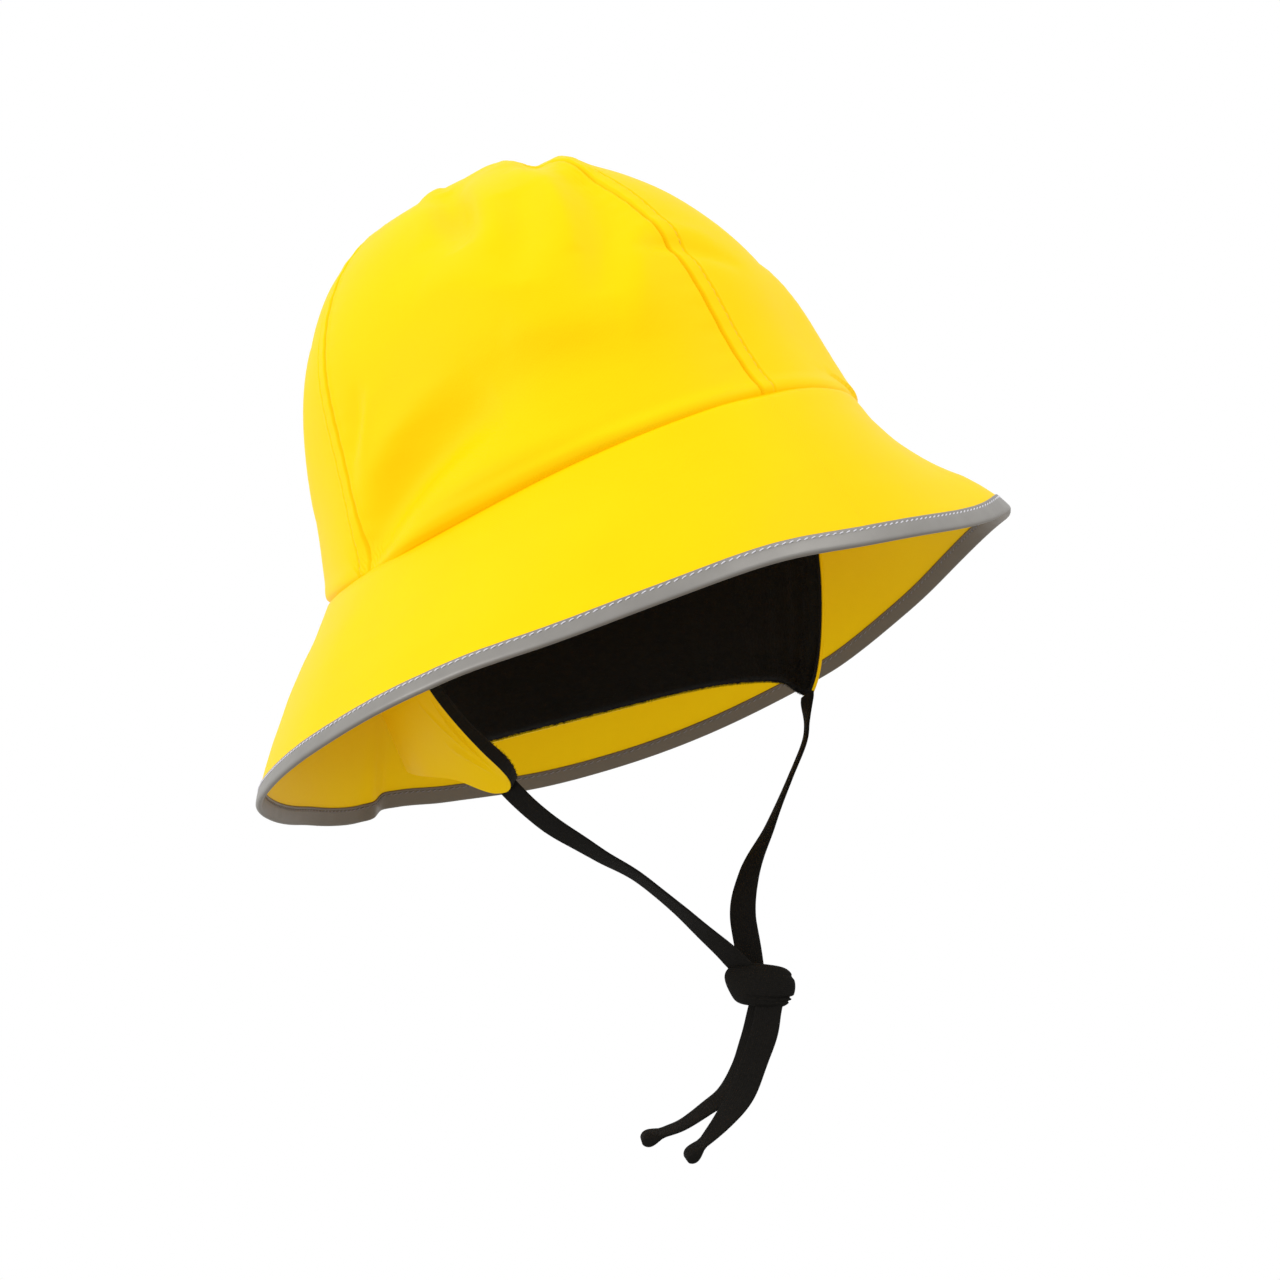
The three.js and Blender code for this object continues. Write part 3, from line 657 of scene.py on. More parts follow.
def coated_cloth():
    """Polyurethane-coated polyester: smooth, with a soft sheen, a faint weave and slight handling marks."""
    material, tree, output = new_material("yellow coated cloth")
    place = add_node(tree, "ShaderNodeAttribute", attribute_name="cloth_mm")
    parts = add_node(tree, "ShaderNodeSeparateXYZ", {"Vector": place.outputs["Vector"]})
    threads = []
    for axis in ("X", "Y"):
        scaled = add_node(tree, "ShaderNodeMath", {0: parts.outputs[axis], 1: math.tau / WEAVE_PITCH},
                          operation="MULTIPLY")
        threads.append(add_node(tree, "ShaderNodeMath", {0: scaled.outputs[0]}, operation="SINE"))
    weave = add_node(tree, "ShaderNodeMath", {0: threads[0].outputs[0], 1: threads[1].outputs[0]},
                     operation="MULTIPLY")
    dimples = add_node(tree, "ShaderNodeTexNoise", {
        "Vector": place.outputs["Vector"], "Scale": 0.33, "Detail": 4.0})
    height = add_node(tree, "ShaderNodeMath", {0: weave.outputs[0], 1: 0.12, 2: dimples.outputs["Fac"]},
                      operation="MULTIPLY_ADD")
    bump = add_node(tree, "ShaderNodeBump", {
        "Height": height.outputs[0], "Strength": 0.2, "Distance": 0.35 * MM})
    clouds = add_node(tree, "ShaderNodeTexNoise", {
        "Vector": place.outputs["Vector"], "Scale": 0.05, "Detail": 5.0})
    shades = add_node(tree, "ShaderNodeMix", {
        0: clouds.outputs["Fac"], 6: colour("#FACA02"), 7: colour("#FBD004")}, data_type="RGBA")
    rough = add_node(tree, "ShaderNodeMapRange", {
        "Value": clouds.outputs["Fac"], "To Min": 0.42, "To Max": 0.52})
    surface = add_node(tree, "ShaderNodeBsdfPrincipled", {
        "Base Color": shades.outputs[2], "Roughness": rough.outputs["Result"], "IOR": 1.48,
        "Normal": bump.outputs["Normal"], "Specular IOR Level": 0.05})
    tree.links.new(surface.outputs["BSDF"], output.inputs["Surface"])
    return material


coated = coated_cloth()
print("material:", coated.name)

# %% [markdown]
# ## Folds of the crown
# A soft crown never hangs quite smooth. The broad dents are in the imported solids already. What is added
# here is finer: the humps at the top, the crease that runs up from the side seam and the roll under it, and
# the ridge down the front. Each is one row. Its path is a few places on the crown, as angle round it and
# millimetres up its cloth, and it says how wide the fold is and how far it rises, below zero for a crease.

# %% Finer folds
FOLDS = [
    {"path": [(-93, 0), (-86, 9), (-78, 17), (-68, 23), (-57, 27), (-46, 27)], "wide": 7.5, "rise": -5.0},
    {"path": [(-90, 22), (-82, 31), (-73, 38), (-62, 43), (-50, 44)], "wide": 7.0, "rise": 1.8},
    {"path": [(-82, -2), (-70, 5), (-56, 9), (-42, 9), (-26, 7)], "wide": 6.0, "rise": 2.0},
    {"path": [(-81, 60), (-84, 49), (-88, 37)], "wide": 3.5, "rise": -1.2},
    {"path": [(-76, 56), (-80, 46), (-86, 33)], "wide": 3.0, "rise": 0.8},
    {"path": [(-46, 136), (-44, 122), (-42, 104), (-43, 88)], "wide": 6.0, "rise": -3.8},
    {"path": [(-54, 128), (-53, 112), (-55, 98)], "wide": 5.0, "rise": 1.0},
    {"path": [(-34, 128), (-32, 112), (-31, 94), (-36, 78)], "wide": 5.5, "rise": 1.2},
    {"path": [(-10, 118), (-12, 104), (-15, 85), (-19, 64)], "wide": 5.5, "rise": 3.0},
    {"path": [(-3, 102), (-6, 86), (-11, 66), (-18, 46)], "wide": 7.0, "rise": -3.0},
    {"path": [(-23, 102), (-27, 82), (-33, 62)], "wide": 7.0, "rise": -2.4},
    {"path": [(-56, 82), (-44, 72), (-30, 60)], "wide": 7.0, "rise": 0.9},
    {"path": [(-40, 50), (-30, 44), (-18, 38)], "wide": 7.0, "rise": 1.0},
    {"path": [(-16, 30), (-10, 48), (-6, 66)], "wide": 6.0, "rise": 0.9},
    {"path": [(-8, 60), (-1, 56), (8, 51), (16, 46)], "wide": 3.2, "rise": -1.5},
    {"path": [(-4, 66), (4, 62), (14, 57)], "wide": 4.0, "rise": 0.9},
    {"path": [(-70, 140), (-58, 143), (-48, 144)], "wide": 6.0, "rise": 1.5},
    {"path": [(-14, 146), (-5, 136), (-14, 124)], "wide": 6.0, "rise": 1.7},
    {"path": [(20, 138), (3, 126), (-7, 114), (-12, 100)], "wide": 4.5, "rise": -2.2},
    {"path": [(30, 124), (12, 118), (2, 108), (-4, 94)], "wide": 5.5, "rise": 1.9},
    {"path": [(36, 54), (39, 37), (37, 18), (34, -4)], "wide": 15.0, "rise": 3.4},
    {"path": [(-114, 86), (-117, 60), (-124, 28)], "wide": 15.0, "rise": 1.3},
    {"path": [(140, 120), (150, 96), (146, 70)], "wide": 7.0, "rise": 1.3},
    {"path": [(160, 104), (166, 82), (176, 62)], "wide": 6.0, "rise": -1.4},
    {"path": [(200, 40), (216, 34), (232, 22)], "wide": 6.0, "rise": -1.3},
    {"path": [(66, 92), (76, 70), (72, 50)], "wide": 6.0, "rise": -1.3},
    {"path": [(84, 34), (98, 26), (114, 24)], "wide": 6.0, "rise": 1.2},
]
PATH_STEPS = 48


def fold_relief(points):
    """How far each point rises in millimetres because of the finer folds."""
    relief = np.zeros(points.shape[:-1])
    for fold in FOLDS:
        path = between(fold["path"], np.linspace(0, len(fold["path"]) - 1, PATH_STEPS))
        line = crown_at(path[:, 0], path[:, 1])
        distances = np.linalg.norm(points[..., None, :] - line, axis=-1)
        nearest = distances.argmin(axis=-1)
        taper = np.sin(math.pi * (nearest + 0.5) / PATH_STEPS) ** 0.6
        relief += fold["rise"] * taper * bump_at(distances.min(axis=-1) / fold["wide"])
    return relief


# %% [markdown]
# ## Felled seams
# Each seam is felled: both edges are turned to one side and stitched down. So the seam itself is a narrow
# groove, the turned edges make a low flat band beside it, and the stitches pull a second groove, about as
# narrow and as deep, along the far side of the band. Close to the stitches the cloth puckers.

# %% Felled seam relief
BAND_WIDTH = 5.2
BAND_RISE = 0.4
PUCKER_PITCH = 7.0


def seam_relief(distance, climb, banded):
    """How high the cloth lies at a distance from a seam, on the side of its band or on the other side."""
    groove = -0.75 * bump_at(distance / 0.5)
    ripple = np.sin(math.tau * climb / PUCKER_PITCH + 2.1 * np.sin(climb / 11))
    pucker = 0.10 * ripple * bump_at((distance - 3) / 5)
    if not banded:
        return groove + 0.2 * bump_at((distance - 1.6) / 1.2) + pucker
    plateau = BAND_RISE * ramp(distance, 0.2, 1.0) * (1 - ramp(distance, BAND_WIDTH + 0.2, BAND_WIDTH + 1.4))
    stitched = -0.85 * bump_at((distance - BAND_WIDTH) / 0.55)
    return groove + plateau + stitched + pucker


# %% [markdown]
# ## The crown panels
# The columns of a panel's grid lie close together near its seams, where the relief is fine, and far apart
# in the middle. The rows do the same near the lower edge, where the crown sags over the brim and its edge
# turns in.

# %% Crown panels
CLOTH = 1.0
PANEL_WIDTH = 150
FINE_REACH = 16
FINE_COLUMNS = np.concatenate([np.arange(0, 8, 0.25), np.arange(8, FINE_REACH, 1.0)]) / PANEL_WIDTH
MIDDLE_COLUMNS = np.linspace(FINE_REACH / PANEL_WIDTH, 1 - FINE_REACH / PANEL_WIDTH, 64)
panel_shares = np.concatenate([FINE_COLUMNS, MIDDLE_COLUMNS, 1 - FINE_COLUMNS[::-1]])
panel_climbs = np.concatenate([np.arange(0, 8, 0.45), np.linspace(8, row_heights[-1], 96)])
BANDED = {"crown_panel_front_left": (True, False), "crown_panel_back_left": (True, False),
          "crown_panel_back_right": (True, True), "crown_panel_front_right": (False, False)}


def normals_of(points):
    """Outward directions of a grid of points on the hat."""
    across = np.gradient(points, axis=0)
    along = np.gradient(points, axis=1)
    return unit(np.cross(across, along) + 1e-9)


SAG_MIDDLE = -30
SAG_WIDTH = 50


def edge_relief(angle, climb):
    """The crown's lower edge: it sags over the brim, most at the wearer's front right, and turns in."""
    sag = 0.35 + 0.65 * bump_at(within_half_turn(angle - SAG_MIDDLE) / SAG_WIDTH)
    return sag * 1.1 * bump_at((climb - 3.2) / 2.6) - 1.3 * bump_at(climb / 0.9)


crown_skins = {}


def crown_panel(index):
    """One crown panel between two seams, with its folds, its seams and its turned lower edge."""
    name = PANELS[index]
    first = np.interp(panel_climbs, *SEAMS[index])
    last = np.interp(panel_climbs, *SEAMS[(index + 1) % 4]) + (360 if index == 3 else 0)
    angles = first + (last - first) * panel_shares[:, None]
    climbs = np.broadcast_to(panel_climbs, angles.shape)
    form = crown_at(angles, climbs)
    normals = normals_of(form)
    steps = np.linalg.norm(np.diff(form, axis=0), axis=-1)
    from_first = np.concatenate([np.zeros((1, steps.shape[1])), np.cumsum(steps, axis=0)])
    from_last = from_first[-1] - from_first
    below_top = ramp(from_first[-1], 8, 40)
    first_banded, last_banded = BANDED[name]
    relief = seam_relief(from_first, climbs, first_banded) + seam_relief(from_last, climbs, last_banded)
    folds = fold_relief(form) + edge_relief(angles, climbs)
    skin = form + normals * (relief * below_top + folds)[..., None]
    inner = form + normals * (folds - CLOTH)[..., None]
    radius = np.hypot(form[..., 0], form[..., 1]).mean()
    places = cloth_places(np.radians(angles) * radius, climbs)
    crown_skins[name] = skin, normals_of(skin), from_first, from_last
    piece = wall(f"{name}_cloth", skin, inner, coated, places)
    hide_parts(name)
    return piece


panels = [crown_panel(index) for index in range(4)]
print("crown panels:", [len(panel.data.polygons) for panel in panels], "faces")

# %% [markdown]
# ## The brim's form
# The brim is read from straight above. Its edge is found by halving the step between a ray that meets the
# brim and one that passes it by. The grid's rows run from that edge in to the crown.

# %% Brim form
BRIM_COLUMNS = 180
BRIM_FORM_ROWS = 24
BRIM_REACH = 110
HALVINGS = 14
brim_tree = solid_tree("brim")


def brim_ray(angle, radius):
    """The brim's upper face below a place, or None where there is no brim."""
    return first_hit(brim_tree, outward(angle) * radius + Vector((0, 0, 60)), Vector((0, 0, -1)))


def brim_column(angle):
    """Points of the brim's upper face from its edge in to the crown."""
    seam = crown_at(angle, 0)
    start = math.hypot(seam[0], seam[1])
    inside, outside = start + 5, start + BRIM_REACH
    for _ in range(HALVINGS):
        middle = (inside + outside) / 2
        if brim_ray(angle, middle):
            inside = middle
        else:
            outside = middle
    radii = np.linspace(inside, start + 0.9, BRIM_FORM_ROWS)
    return [brim_ray(angle, radius) or (math.nan,) * 3 for radius in radii]


brim_grid = mended(np.array([brim_column(column * 360 / BRIM_COLUMNS) for column in range(BRIM_COLUMNS)]))
brim_grid = (np.roll(brim_grid, 1, axis=0) + 2 * brim_grid + np.roll(brim_grid, -1, axis=0)) / 4
brim_widths = np.linalg.norm(np.diff(brim_grid, axis=1), axis=-1).sum(axis=1)
print("brim, seam to edge, mm:", round(brim_widths.min(), 1), "to", round(brim_widths.max(), 1))

# %% [markdown]
# ## The brim
# The brim is one layer of the same cloth as the crown. It flares, so it is cut on a curve and never lies
# quite true: it keeps a slow wave. Its inner edge runs in under the crown's turned edge and closes the
# seam.

# %% Brim
UNDERLAP = 3.0
UNDERLAP_RISE = 1.6
MIDDLE_RADIUS = 115
UNDERSIDE_SHIFT = 200
FINE_ANGLES = np.arange(0, 360, 0.5)
brim_shares = np.concatenate([np.linspace(0, 0.12, 14), np.linspace(0.12, 1, 40)[1:]])
BRIM_FOLDS = [
    {"angle": 41, "share": 0.16, "turn": 9, "wide": 0.26, "rise": 2.2},
    {"angle": 241, "share": 0.80, "turn": 16, "wide": 0.22, "rise": -1.2},
    {"angle": 243, "share": 0.10, "turn": 16, "wide": 0.22, "rise": 1.2},
    {"angle": 322, "share": 0.55, "turn": 10, "wide": 0.30, "rise": 0.9},
    {"angle": 345, "share": 0.60, "turn": 8, "wide": 0.30, "rise": -0.8},
    {"angle": 300, "share": 0.50, "turn": 9, "wide": 0.35, "rise": -0.8},
    {"angle": 193, "share": 0.0, "turn": 1.8, "wide": 0.35, "rise": -1.8},
    {"angle": 189.3, "share": 0.0, "turn": 1.3, "wide": 0.35, "rise": 0.8},
]


def brim_wave(angles, shares):
    """Height of the brim's waves and folds in millimetres; the slow waves fade out towards its seam."""
    turn = np.radians(angles)
    wave = np.sin(9 * turn + 1.3 + 2 * shares) + 0.6 * np.sin(14 * turn + 0.4 - 3 * shares)
    relief = 0.22 * wave * (1 - shares) ** 0.7
    for fold in BRIM_FOLDS:
        aside = within_half_turn(angles - fold["angle"]) / fold["turn"]
        inward = (shares - fold["share"]) / fold["wide"]
        relief += fold["rise"] * bump_at(aside) * bump_at(inward)
    return relief


def brim_faces():
    """The upper and under face of the brim, columns round the hat and rows from the edge to the seam."""
    angles, shares = np.meshgrid(FINE_ANGLES, brim_shares, indexing="ij")
    form = on_grid(brim_grid, angles * BRIM_COLUMNS / 360, shares * (BRIM_FORM_ROWS - 1))
    normals = normals_of(form)
    upper = form + normals * brim_wave(angles, shares)[..., None]
    level = upper[:, -1] * [1, 1, 0]
    tucked = upper[:, -1] - unit(level) * UNDERLAP + [0, 0, UNDERLAP_RISE]
    upper = np.concatenate([upper, tucked[:, None]], axis=1)
    normals = np.concatenate([normals, normals[:, -1:]], axis=1)
    return upper, upper - normals * CLOTH, normals


brim_upper, brim_under, brim_normals = brim_faces()
brim_steps = np.linalg.norm(np.diff(brim_upper, axis=1), axis=-1)
from_edge = np.concatenate([np.zeros((len(FINE_ANGLES), 1)), np.cumsum(brim_steps, axis=1)], axis=1)
brim_places = cloth_places(np.radians(FINE_ANGLES)[:, None] * MIDDLE_RADIUS, from_edge)
brim = wall("brim_cloth", brim_upper, brim_under, coated, brim_places,
            ring=True, shift=UNDERSIDE_SHIFT)
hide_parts("brim")
print("brim:", len(brim.data.polygons), "faces")

# %% [markdown]
# ## The bound edge
# The brim's edge is bound with a reflective tape, folded over it and sewn through. The tape is polyester
# with a face of tiny glass beads, which throw light back. In soft light it is a plain satin grey.
# Underneath it lies in shade and in yellow light thrown back by the cloth, so that half is painted a
# browner, darker grey: painted shade and painted yellow reflection. It is about 10 mm wide before it is
# folded, so 5 mm shows on each side. Its stitches draw it in slightly, and it ripples a little where the
# edge curves.

# %% Grey reflective tape
TAPE_NOSE = 7.2


def reflective_tape():
    """Glass-bead tape: satin grey with fine grain, and painted shade in brown grey on the half folded under.
    """
    material, tree, output = new_material("grey glass-bead reflective tape")
    place = add_node(tree, "ShaderNodeAttribute", attribute_name="cloth_mm")
    tones = add_node(tree, "ShaderNodeTexNoise", {
        "Vector": place.outputs["Vector"], "Scale": 0.12, "Detail": 4.0})
    face = add_node(tree, "ShaderNodeMix", {
        0: tones.outputs["Fac"], 6: colour("#7C7975"), 7: colour("#8C8984")}, data_type="RGBA")
    parts = add_node(tree, "ShaderNodeSeparateXYZ", {"Vector": place.outputs["Vector"]})
    # The half folded under is mixed to brown grey: painted shade and painted yellow light from the cloth.
    folded = add_node(tree, "ShaderNodeMapRange", {
        "Value": parts.outputs["Y"], "From Min": TAPE_NOSE - 0.8, "From Max": TAPE_NOSE + 0.8})
    shades = add_node(tree, "ShaderNodeMix", {
        0: folded.outputs["Result"], 6: face.outputs[2], 7: colour("#685D4E")}, data_type="RGBA")
    beads = add_node(tree, "ShaderNodeTexVoronoi", {"Vector": place.outputs["Vector"], "Scale": 2.6})
    bump = add_node(tree, "ShaderNodeBump", {
        "Height": beads.outputs["Distance"], "Strength": 0.25, "Distance": 0.1 * MM})
    surface = add_node(tree, "ShaderNodeBsdfPrincipled", {
        "Base Color": shades.outputs[2], "Metallic": 0.35, "Roughness": 0.46, "IOR": 1.52,
        "Normal": bump.outputs["Normal"]})
    tree.links.new(surface.outputs["BSDF"], output.inputs["Surface"])
    return material


tape = reflective_tape()
print("material:", tape.name)

# %% [markdown]
# The tape's section is a list of places: how far in from the cloth's edge, and how high above it. It starts
# with a thin raised edge, dips at the stitches, runs to the brim's edge, goes round it and comes back
# underneath.

# %% Binding
TAPE_SECTION = [(5.3, 0.02), (5.3, 0.3), (5.1, 0.46), (4.7, 0.5), (4.35, 0.42), (4.1, 0.33),
                (3.85, 0.42), (3.4, 0.52), (2.4, 0.56), (1.4, 0.56), (0.6, 0.52)]
NOSE_STEPS = 9
NOSE_OUT = 1.15
NOSE_RISE = 0.5
EDGE_RADIUS = 130


def brim_at(distance):
    """Points and upward directions of the brim's upper face at a distance in from its edge, all round."""
    points = np.empty((len(FINE_ANGLES), 3))
    normals = np.empty((len(FINE_ANGLES), 3))
    for column in range(len(FINE_ANGLES)):
        for part in range(3):
            points[column, part] = np.interp(distance, from_edge[column], brim_upper[column, :, part])
            normals[column, part] = np.interp(distance, from_edge[column], brim_normals[column, :, part])
    return points, unit(normals)


edge_points, edge_normals = brim_at(0)
edge_outward = unit(edge_points - brim_at(3)[0])


def tape_face(section, nose_out, nose_rise, ripple):
    """Rows of one face of the folded tape: over the brim, round its edge and back underneath."""
    rows = []
    for distance, height in section:
        points, normals = brim_at(distance)
        rows.append(points + normals * (height + ripple * min(height, 0.4))[:, None])
    middle = edge_points - edge_normals * CLOTH / 2
    for turn in np.linspace(math.pi / 2, -math.pi / 2, NOSE_STEPS):
        out, rise = nose_out * math.cos(turn), (CLOTH / 2 + nose_rise) * math.sin(turn)
        rows.append(middle + edge_outward * out + edge_normals * rise)
    for distance, height in reversed(section):
        points, normals = brim_at(distance)
        rows.append(points - normals * (CLOTH + height + ripple * min(height, 0.4))[:, None])
    return np.stack(rows, axis=1)


def binding():
    """The folded tape round the whole edge, with a slight ripple."""
    turns = np.radians(FINE_ANGLES)
    ripple = 0.06 * np.sin(62 * turns) + 0.05 * np.sin(97 * turns + 1)
    outer = tape_face(TAPE_SECTION, NOSE_OUT, NOSE_RISE, ripple)
    inner = tape_face([(distance, 0.01) for distance, _ in TAPE_SECTION], 0.1, 0.02, 0 * ripple)
    places = cloth_places(turns[:, None] * EDGE_RADIUS, travelled_along(outer[0])[None, :])
    piece = wall("binding_tape", outer, inner, tape, places, ring=True)
    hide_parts("brim_binding")
    return piece


brim_binding = binding()
print("binding:", len(brim_binding.data.polygons), "faces")

# %% [markdown]
# ## Stitches
# The seams and the tape are sewn with polyester thread, a lockstitch of 2.5 to 3 mm. A stitch that lies on
# the cloth is a short arch of thread that dives in at both ends. All the stitches of a line are one mesh,
# built from arrays: single objects would be thousands. On the tape they lie slightly aslant, as a
# lockstitch does.

# %% Threads and stitches
THREAD_SIDES = 6
THREAD_RINGS = 7
TAPE_STITCH = {"place": 4.1, "lift": 0.36, "pitch": 2.5, "slant": 0.30}
SEAM_STITCH = {"pitch": 3.0, "thread": 0.36}
FIRST_STITCH_ROW = 4
CROWDED = 24


def thread_material(name, dark, light):
    """Spun polyester thread: soft, with fine twist."""
    material, tree, output = new_material(name)
    place = add_node(tree, "ShaderNodeAttribute", attribute_name="cloth_mm")
    twist = add_node(tree, "ShaderNodeTexWave", {
        "Vector": place.outputs["Vector"], "Scale": 1.2, "Distortion": 1.0})
    shades = add_node(tree, "ShaderNodeMix", {
        0: twist.outputs["Fac"], 6: colour(dark), 7: colour(light)}, data_type="RGBA")
    bump = add_node(tree, "ShaderNodeBump", {
        "Height": twist.outputs["Fac"], "Strength": 0.3, "Distance": 0.05 * MM})
    surface = add_node(tree, "ShaderNodeBsdfPrincipled", {
        "Base Color": shades.outputs[2], "Roughness": 0.55, "IOR": 1.54, "Normal": bump.outputs["Normal"]})
    tree.links.new(surface.outputs["BSDF"], output.inputs["Surface"])
    return material


yellow_thread = thread_material("yellow polyester thread", "#E8BC00", "#FFD404")
pale_thread = thread_material("pale polyester thread", "#C9C6CE", "#E2E0E8")
# Below the brim the same pale thread is painted darker grey: painted shade.
shaded_pale_thread = thread_material("pale polyester thread in painted shade", "#6F6A6C", "#817C80")


def stitches(name, line, normals, material, slot, pitch, thread=0.42, slant=0.0, closed=False):
    """One mesh with all the stitches along a line of points on the cloth."""
    if closed:
        line = np.concatenate([line, line[:1]])
        normals = np.concatenate([normals, normals[:1]])
    travelled = travelled_along(line)
    count = int(travelled[-1] / pitch)
    starts = (np.arange(count) + 0.5) * travelled[-1] / count

    def sample(values, wanted):
        return np.stack([np.interp(wanted, travelled, values[:, part]) for part in range(3)], axis=-1)

    centre, up = sample(line, starts), unit(sample(normals, starts))
    ahead = unit(sample(line, starts + 0.6) - sample(line, starts - 0.6))
    aside = np.cross(up, ahead)
    heading = ahead * math.cos(slant) + aside * math.sin(slant)
    beside = np.cross(up, heading)
    share = np.linspace(-1, 1, THREAD_RINGS)
    half_length = 0.40 * pitch
    lift = 0.5 * thread * (1 - share ** 2) - 0.12 * thread
    radius = 0.5 * thread * np.sqrt(np.clip(1.02 - share ** 4, 0, 1))
    around = np.arange(THREAD_SIDES) * math.tau / THREAD_SIDES
    points = (centre[:, None, None] + heading[:, None, None] * (share * half_length)[None, :, None, None]
              + up[:, None, None] * (lift[:, None] + radius[:, None] * np.sin(around))[None, ..., None]
              + beside[:, None, None] * (radius[:, None] * np.cos(around))[None, ..., None])
    ring, side = np.meshgrid(np.arange(THREAD_RINGS - 1), np.arange(THREAD_SIDES), indexing="ij")
    near, far = ring * THREAD_SIDES + side, ring * THREAD_SIDES + (side + 1) % THREAD_SIDES
    quads = np.stack([near, near + THREAD_SIDES, far + THREAD_SIDES, far], axis=-1).reshape(-1, 4)
    first = np.arange(count) * THREAD_RINGS * THREAD_SIDES
    faces = (quads[None] + first[:, None, None]).reshape(-1, 4)
    places = np.broadcast_to((share * half_length)[None, :, None, None], points.shape)
    return finished_mesh(name, points.reshape(-1, 3) * MM, faces, material, places)


def tape_stitches():
    """The seam that holds the tape, seen from above and from below."""
    points, normals = brim_at(TAPE_STITCH["place"])
    lift, pitch, slant = TAPE_STITCH["lift"], TAPE_STITCH["pitch"], TAPE_STITCH["slant"]
    above = stitches("binding_stitches_above", points + normals * lift, normals, pale_thread,
                     "grey_reflective_tape", pitch, slant=slant, closed=True)
    # The stitches below get the pale thread painted darker: painted shade.
    below = stitches("binding_stitches_below", points - normals * (CLOTH + lift), -normals, shaded_pale_thread,
                     "grey_reflective_tape", pitch, slant=slant, closed=True)
    return above, below


tape_seams = tape_stitches()


def seam_stitches(name, panel, from_end):
    """The topstitching beside one seam of a panel, from the brim up to where the seams crowd together."""
    skin, normals, from_first, from_last = crown_skins[panel]
    distances = from_last[::-1] if from_end else from_first
    skin = skin[::-1] if from_end else skin
    normals = normals[::-1] if from_end else normals
    rows = [row for row in range(FIRST_STITCH_ROW, skin.shape[1]) if distances[-1, row] > CROWDED]

    def beside(grid):
        """The grid's values along the line of stitches, one for each row."""
        return np.array([
            [np.interp(BAND_WIDTH, distances[:, row], grid[:, row, part]) for part in range(3)]
            for row in rows
        ])

    line, outwards = beside(skin), unit(beside(normals))
    return stitches(name, line, outwards, yellow_thread, "yellow_coated_cloth", **SEAM_STITCH)


topstitching = [
    seam_stitches("stitches_front", "crown_panel_front_left", False),
    seam_stitches("stitches_left", "crown_panel_back_left", False),
    seam_stitches("stitches_back", "crown_panel_back_right", False),
    seam_stitches("stitches_right", "crown_panel_back_right", True),
]
faces_each = THREAD_SIDES * (THREAD_RINGS - 1)
print("stitches:", [len(piece.data.polygons) // faces_each for piece in (*tape_seams, *topstitching)])

# %% [markdown]
# ## The flap
# The flap hangs inside the brim from one ear round the back to the other. Its outside is the coated cloth,
# its inside black fleece, and the fleece is turned forward round the front edge, where it shows as a black
# band. Level rays find its form, column by column from the right front edge to the left one.

# %% Flap form
FLAP_COLUMNS = 61
FLAP_FORM_ROWS = 14
FLAP_TOP_ANGLES = (90, 96, 104, 116, 135, 157, 180)
FLAP_LOW_ANGLES = (96.5, 103, 110, 119, 135, 157, 180)
FLAP_DROPS = (73.0, 70.8, 65.7, 62.0, 58.4, 57.7, 56.9)
flap_tree = solid_tree("flap_shell")


def flap_column(round_share):
    """Points of the flap's outer face down one column: -1 at the right front edge, 1 at the left."""
    place = np.array([(1 - abs(round_share)) * (len(FLAP_TOP_ANGLES) - 1)])
    top, low, drop = between(np.stack([FLAP_TOP_ANGLES, FLAP_LOW_ANGLES, FLAP_DROPS], axis=1), place)[0]
    side = -1 if round_share < 0 else 1
    points = []
    for share in np.linspace(0.008, 0.992, FLAP_FORM_ROWS):
        angle = side * (top + (low - top) * share ** 2)
        height = crown_at(angle, 0)[2] - CLOTH - 0.3 - drop * share
        start = outward(angle) * REACH + Vector((0, 0, height))
        points.append(first_hit(flap_tree, start, -outward(angle)) or (math.nan,) * 3)
    return points


def filled_down(column):
    """The column with its missed places filled from those above and below, straight on at its ends."""
    rows = np.arange(len(column))
    good = ~np.isnan(column[:, 0])
    first, last = rows[good][0], rows[good][-1]
    result = np.stack([np.interp(rows, rows[good], column[good, part]) for part in range(3)], axis=-1)
    for row in range(first):
        result[row] = result[first] + (result[first] - result[first + 1]) * (first - row)
    for row in range(last + 1, len(column)):
        result[row] = result[last] + (result[last] - result[last - 1]) * (row - last)
    return result


flap_rounds = np.linspace(-0.99, 0.99, FLAP_COLUMNS)
flap_rays = [np.array(flap_column(value)) for value in flap_rounds]
print("flap rays that missed, by column:", [int(np.isnan(column[:, 0]).sum()) for column in flap_rays])
flap_grid = np.array([filled_down(column) for column in flap_rays])
flap_grid[:, 1:-1] = (flap_grid[:, :-2] + 2 * flap_grid[:, 1:-1] + flap_grid[:, 2:]) / 4
flap_grid[1:-1] = (flap_grid[:-2] + 2 * flap_grid[1:-1] + flap_grid[2:]) / 4

# %% [markdown]
# The tip of the flap is rounded, and the fleece reaches a little further forward than the cloth. So both
# are made by one function: it takes how far the piece reaches past the front edge and how round its tip is.
# At the wearer's right the tie pulls the tip forward and down, and leaves creases in the cloth above it.

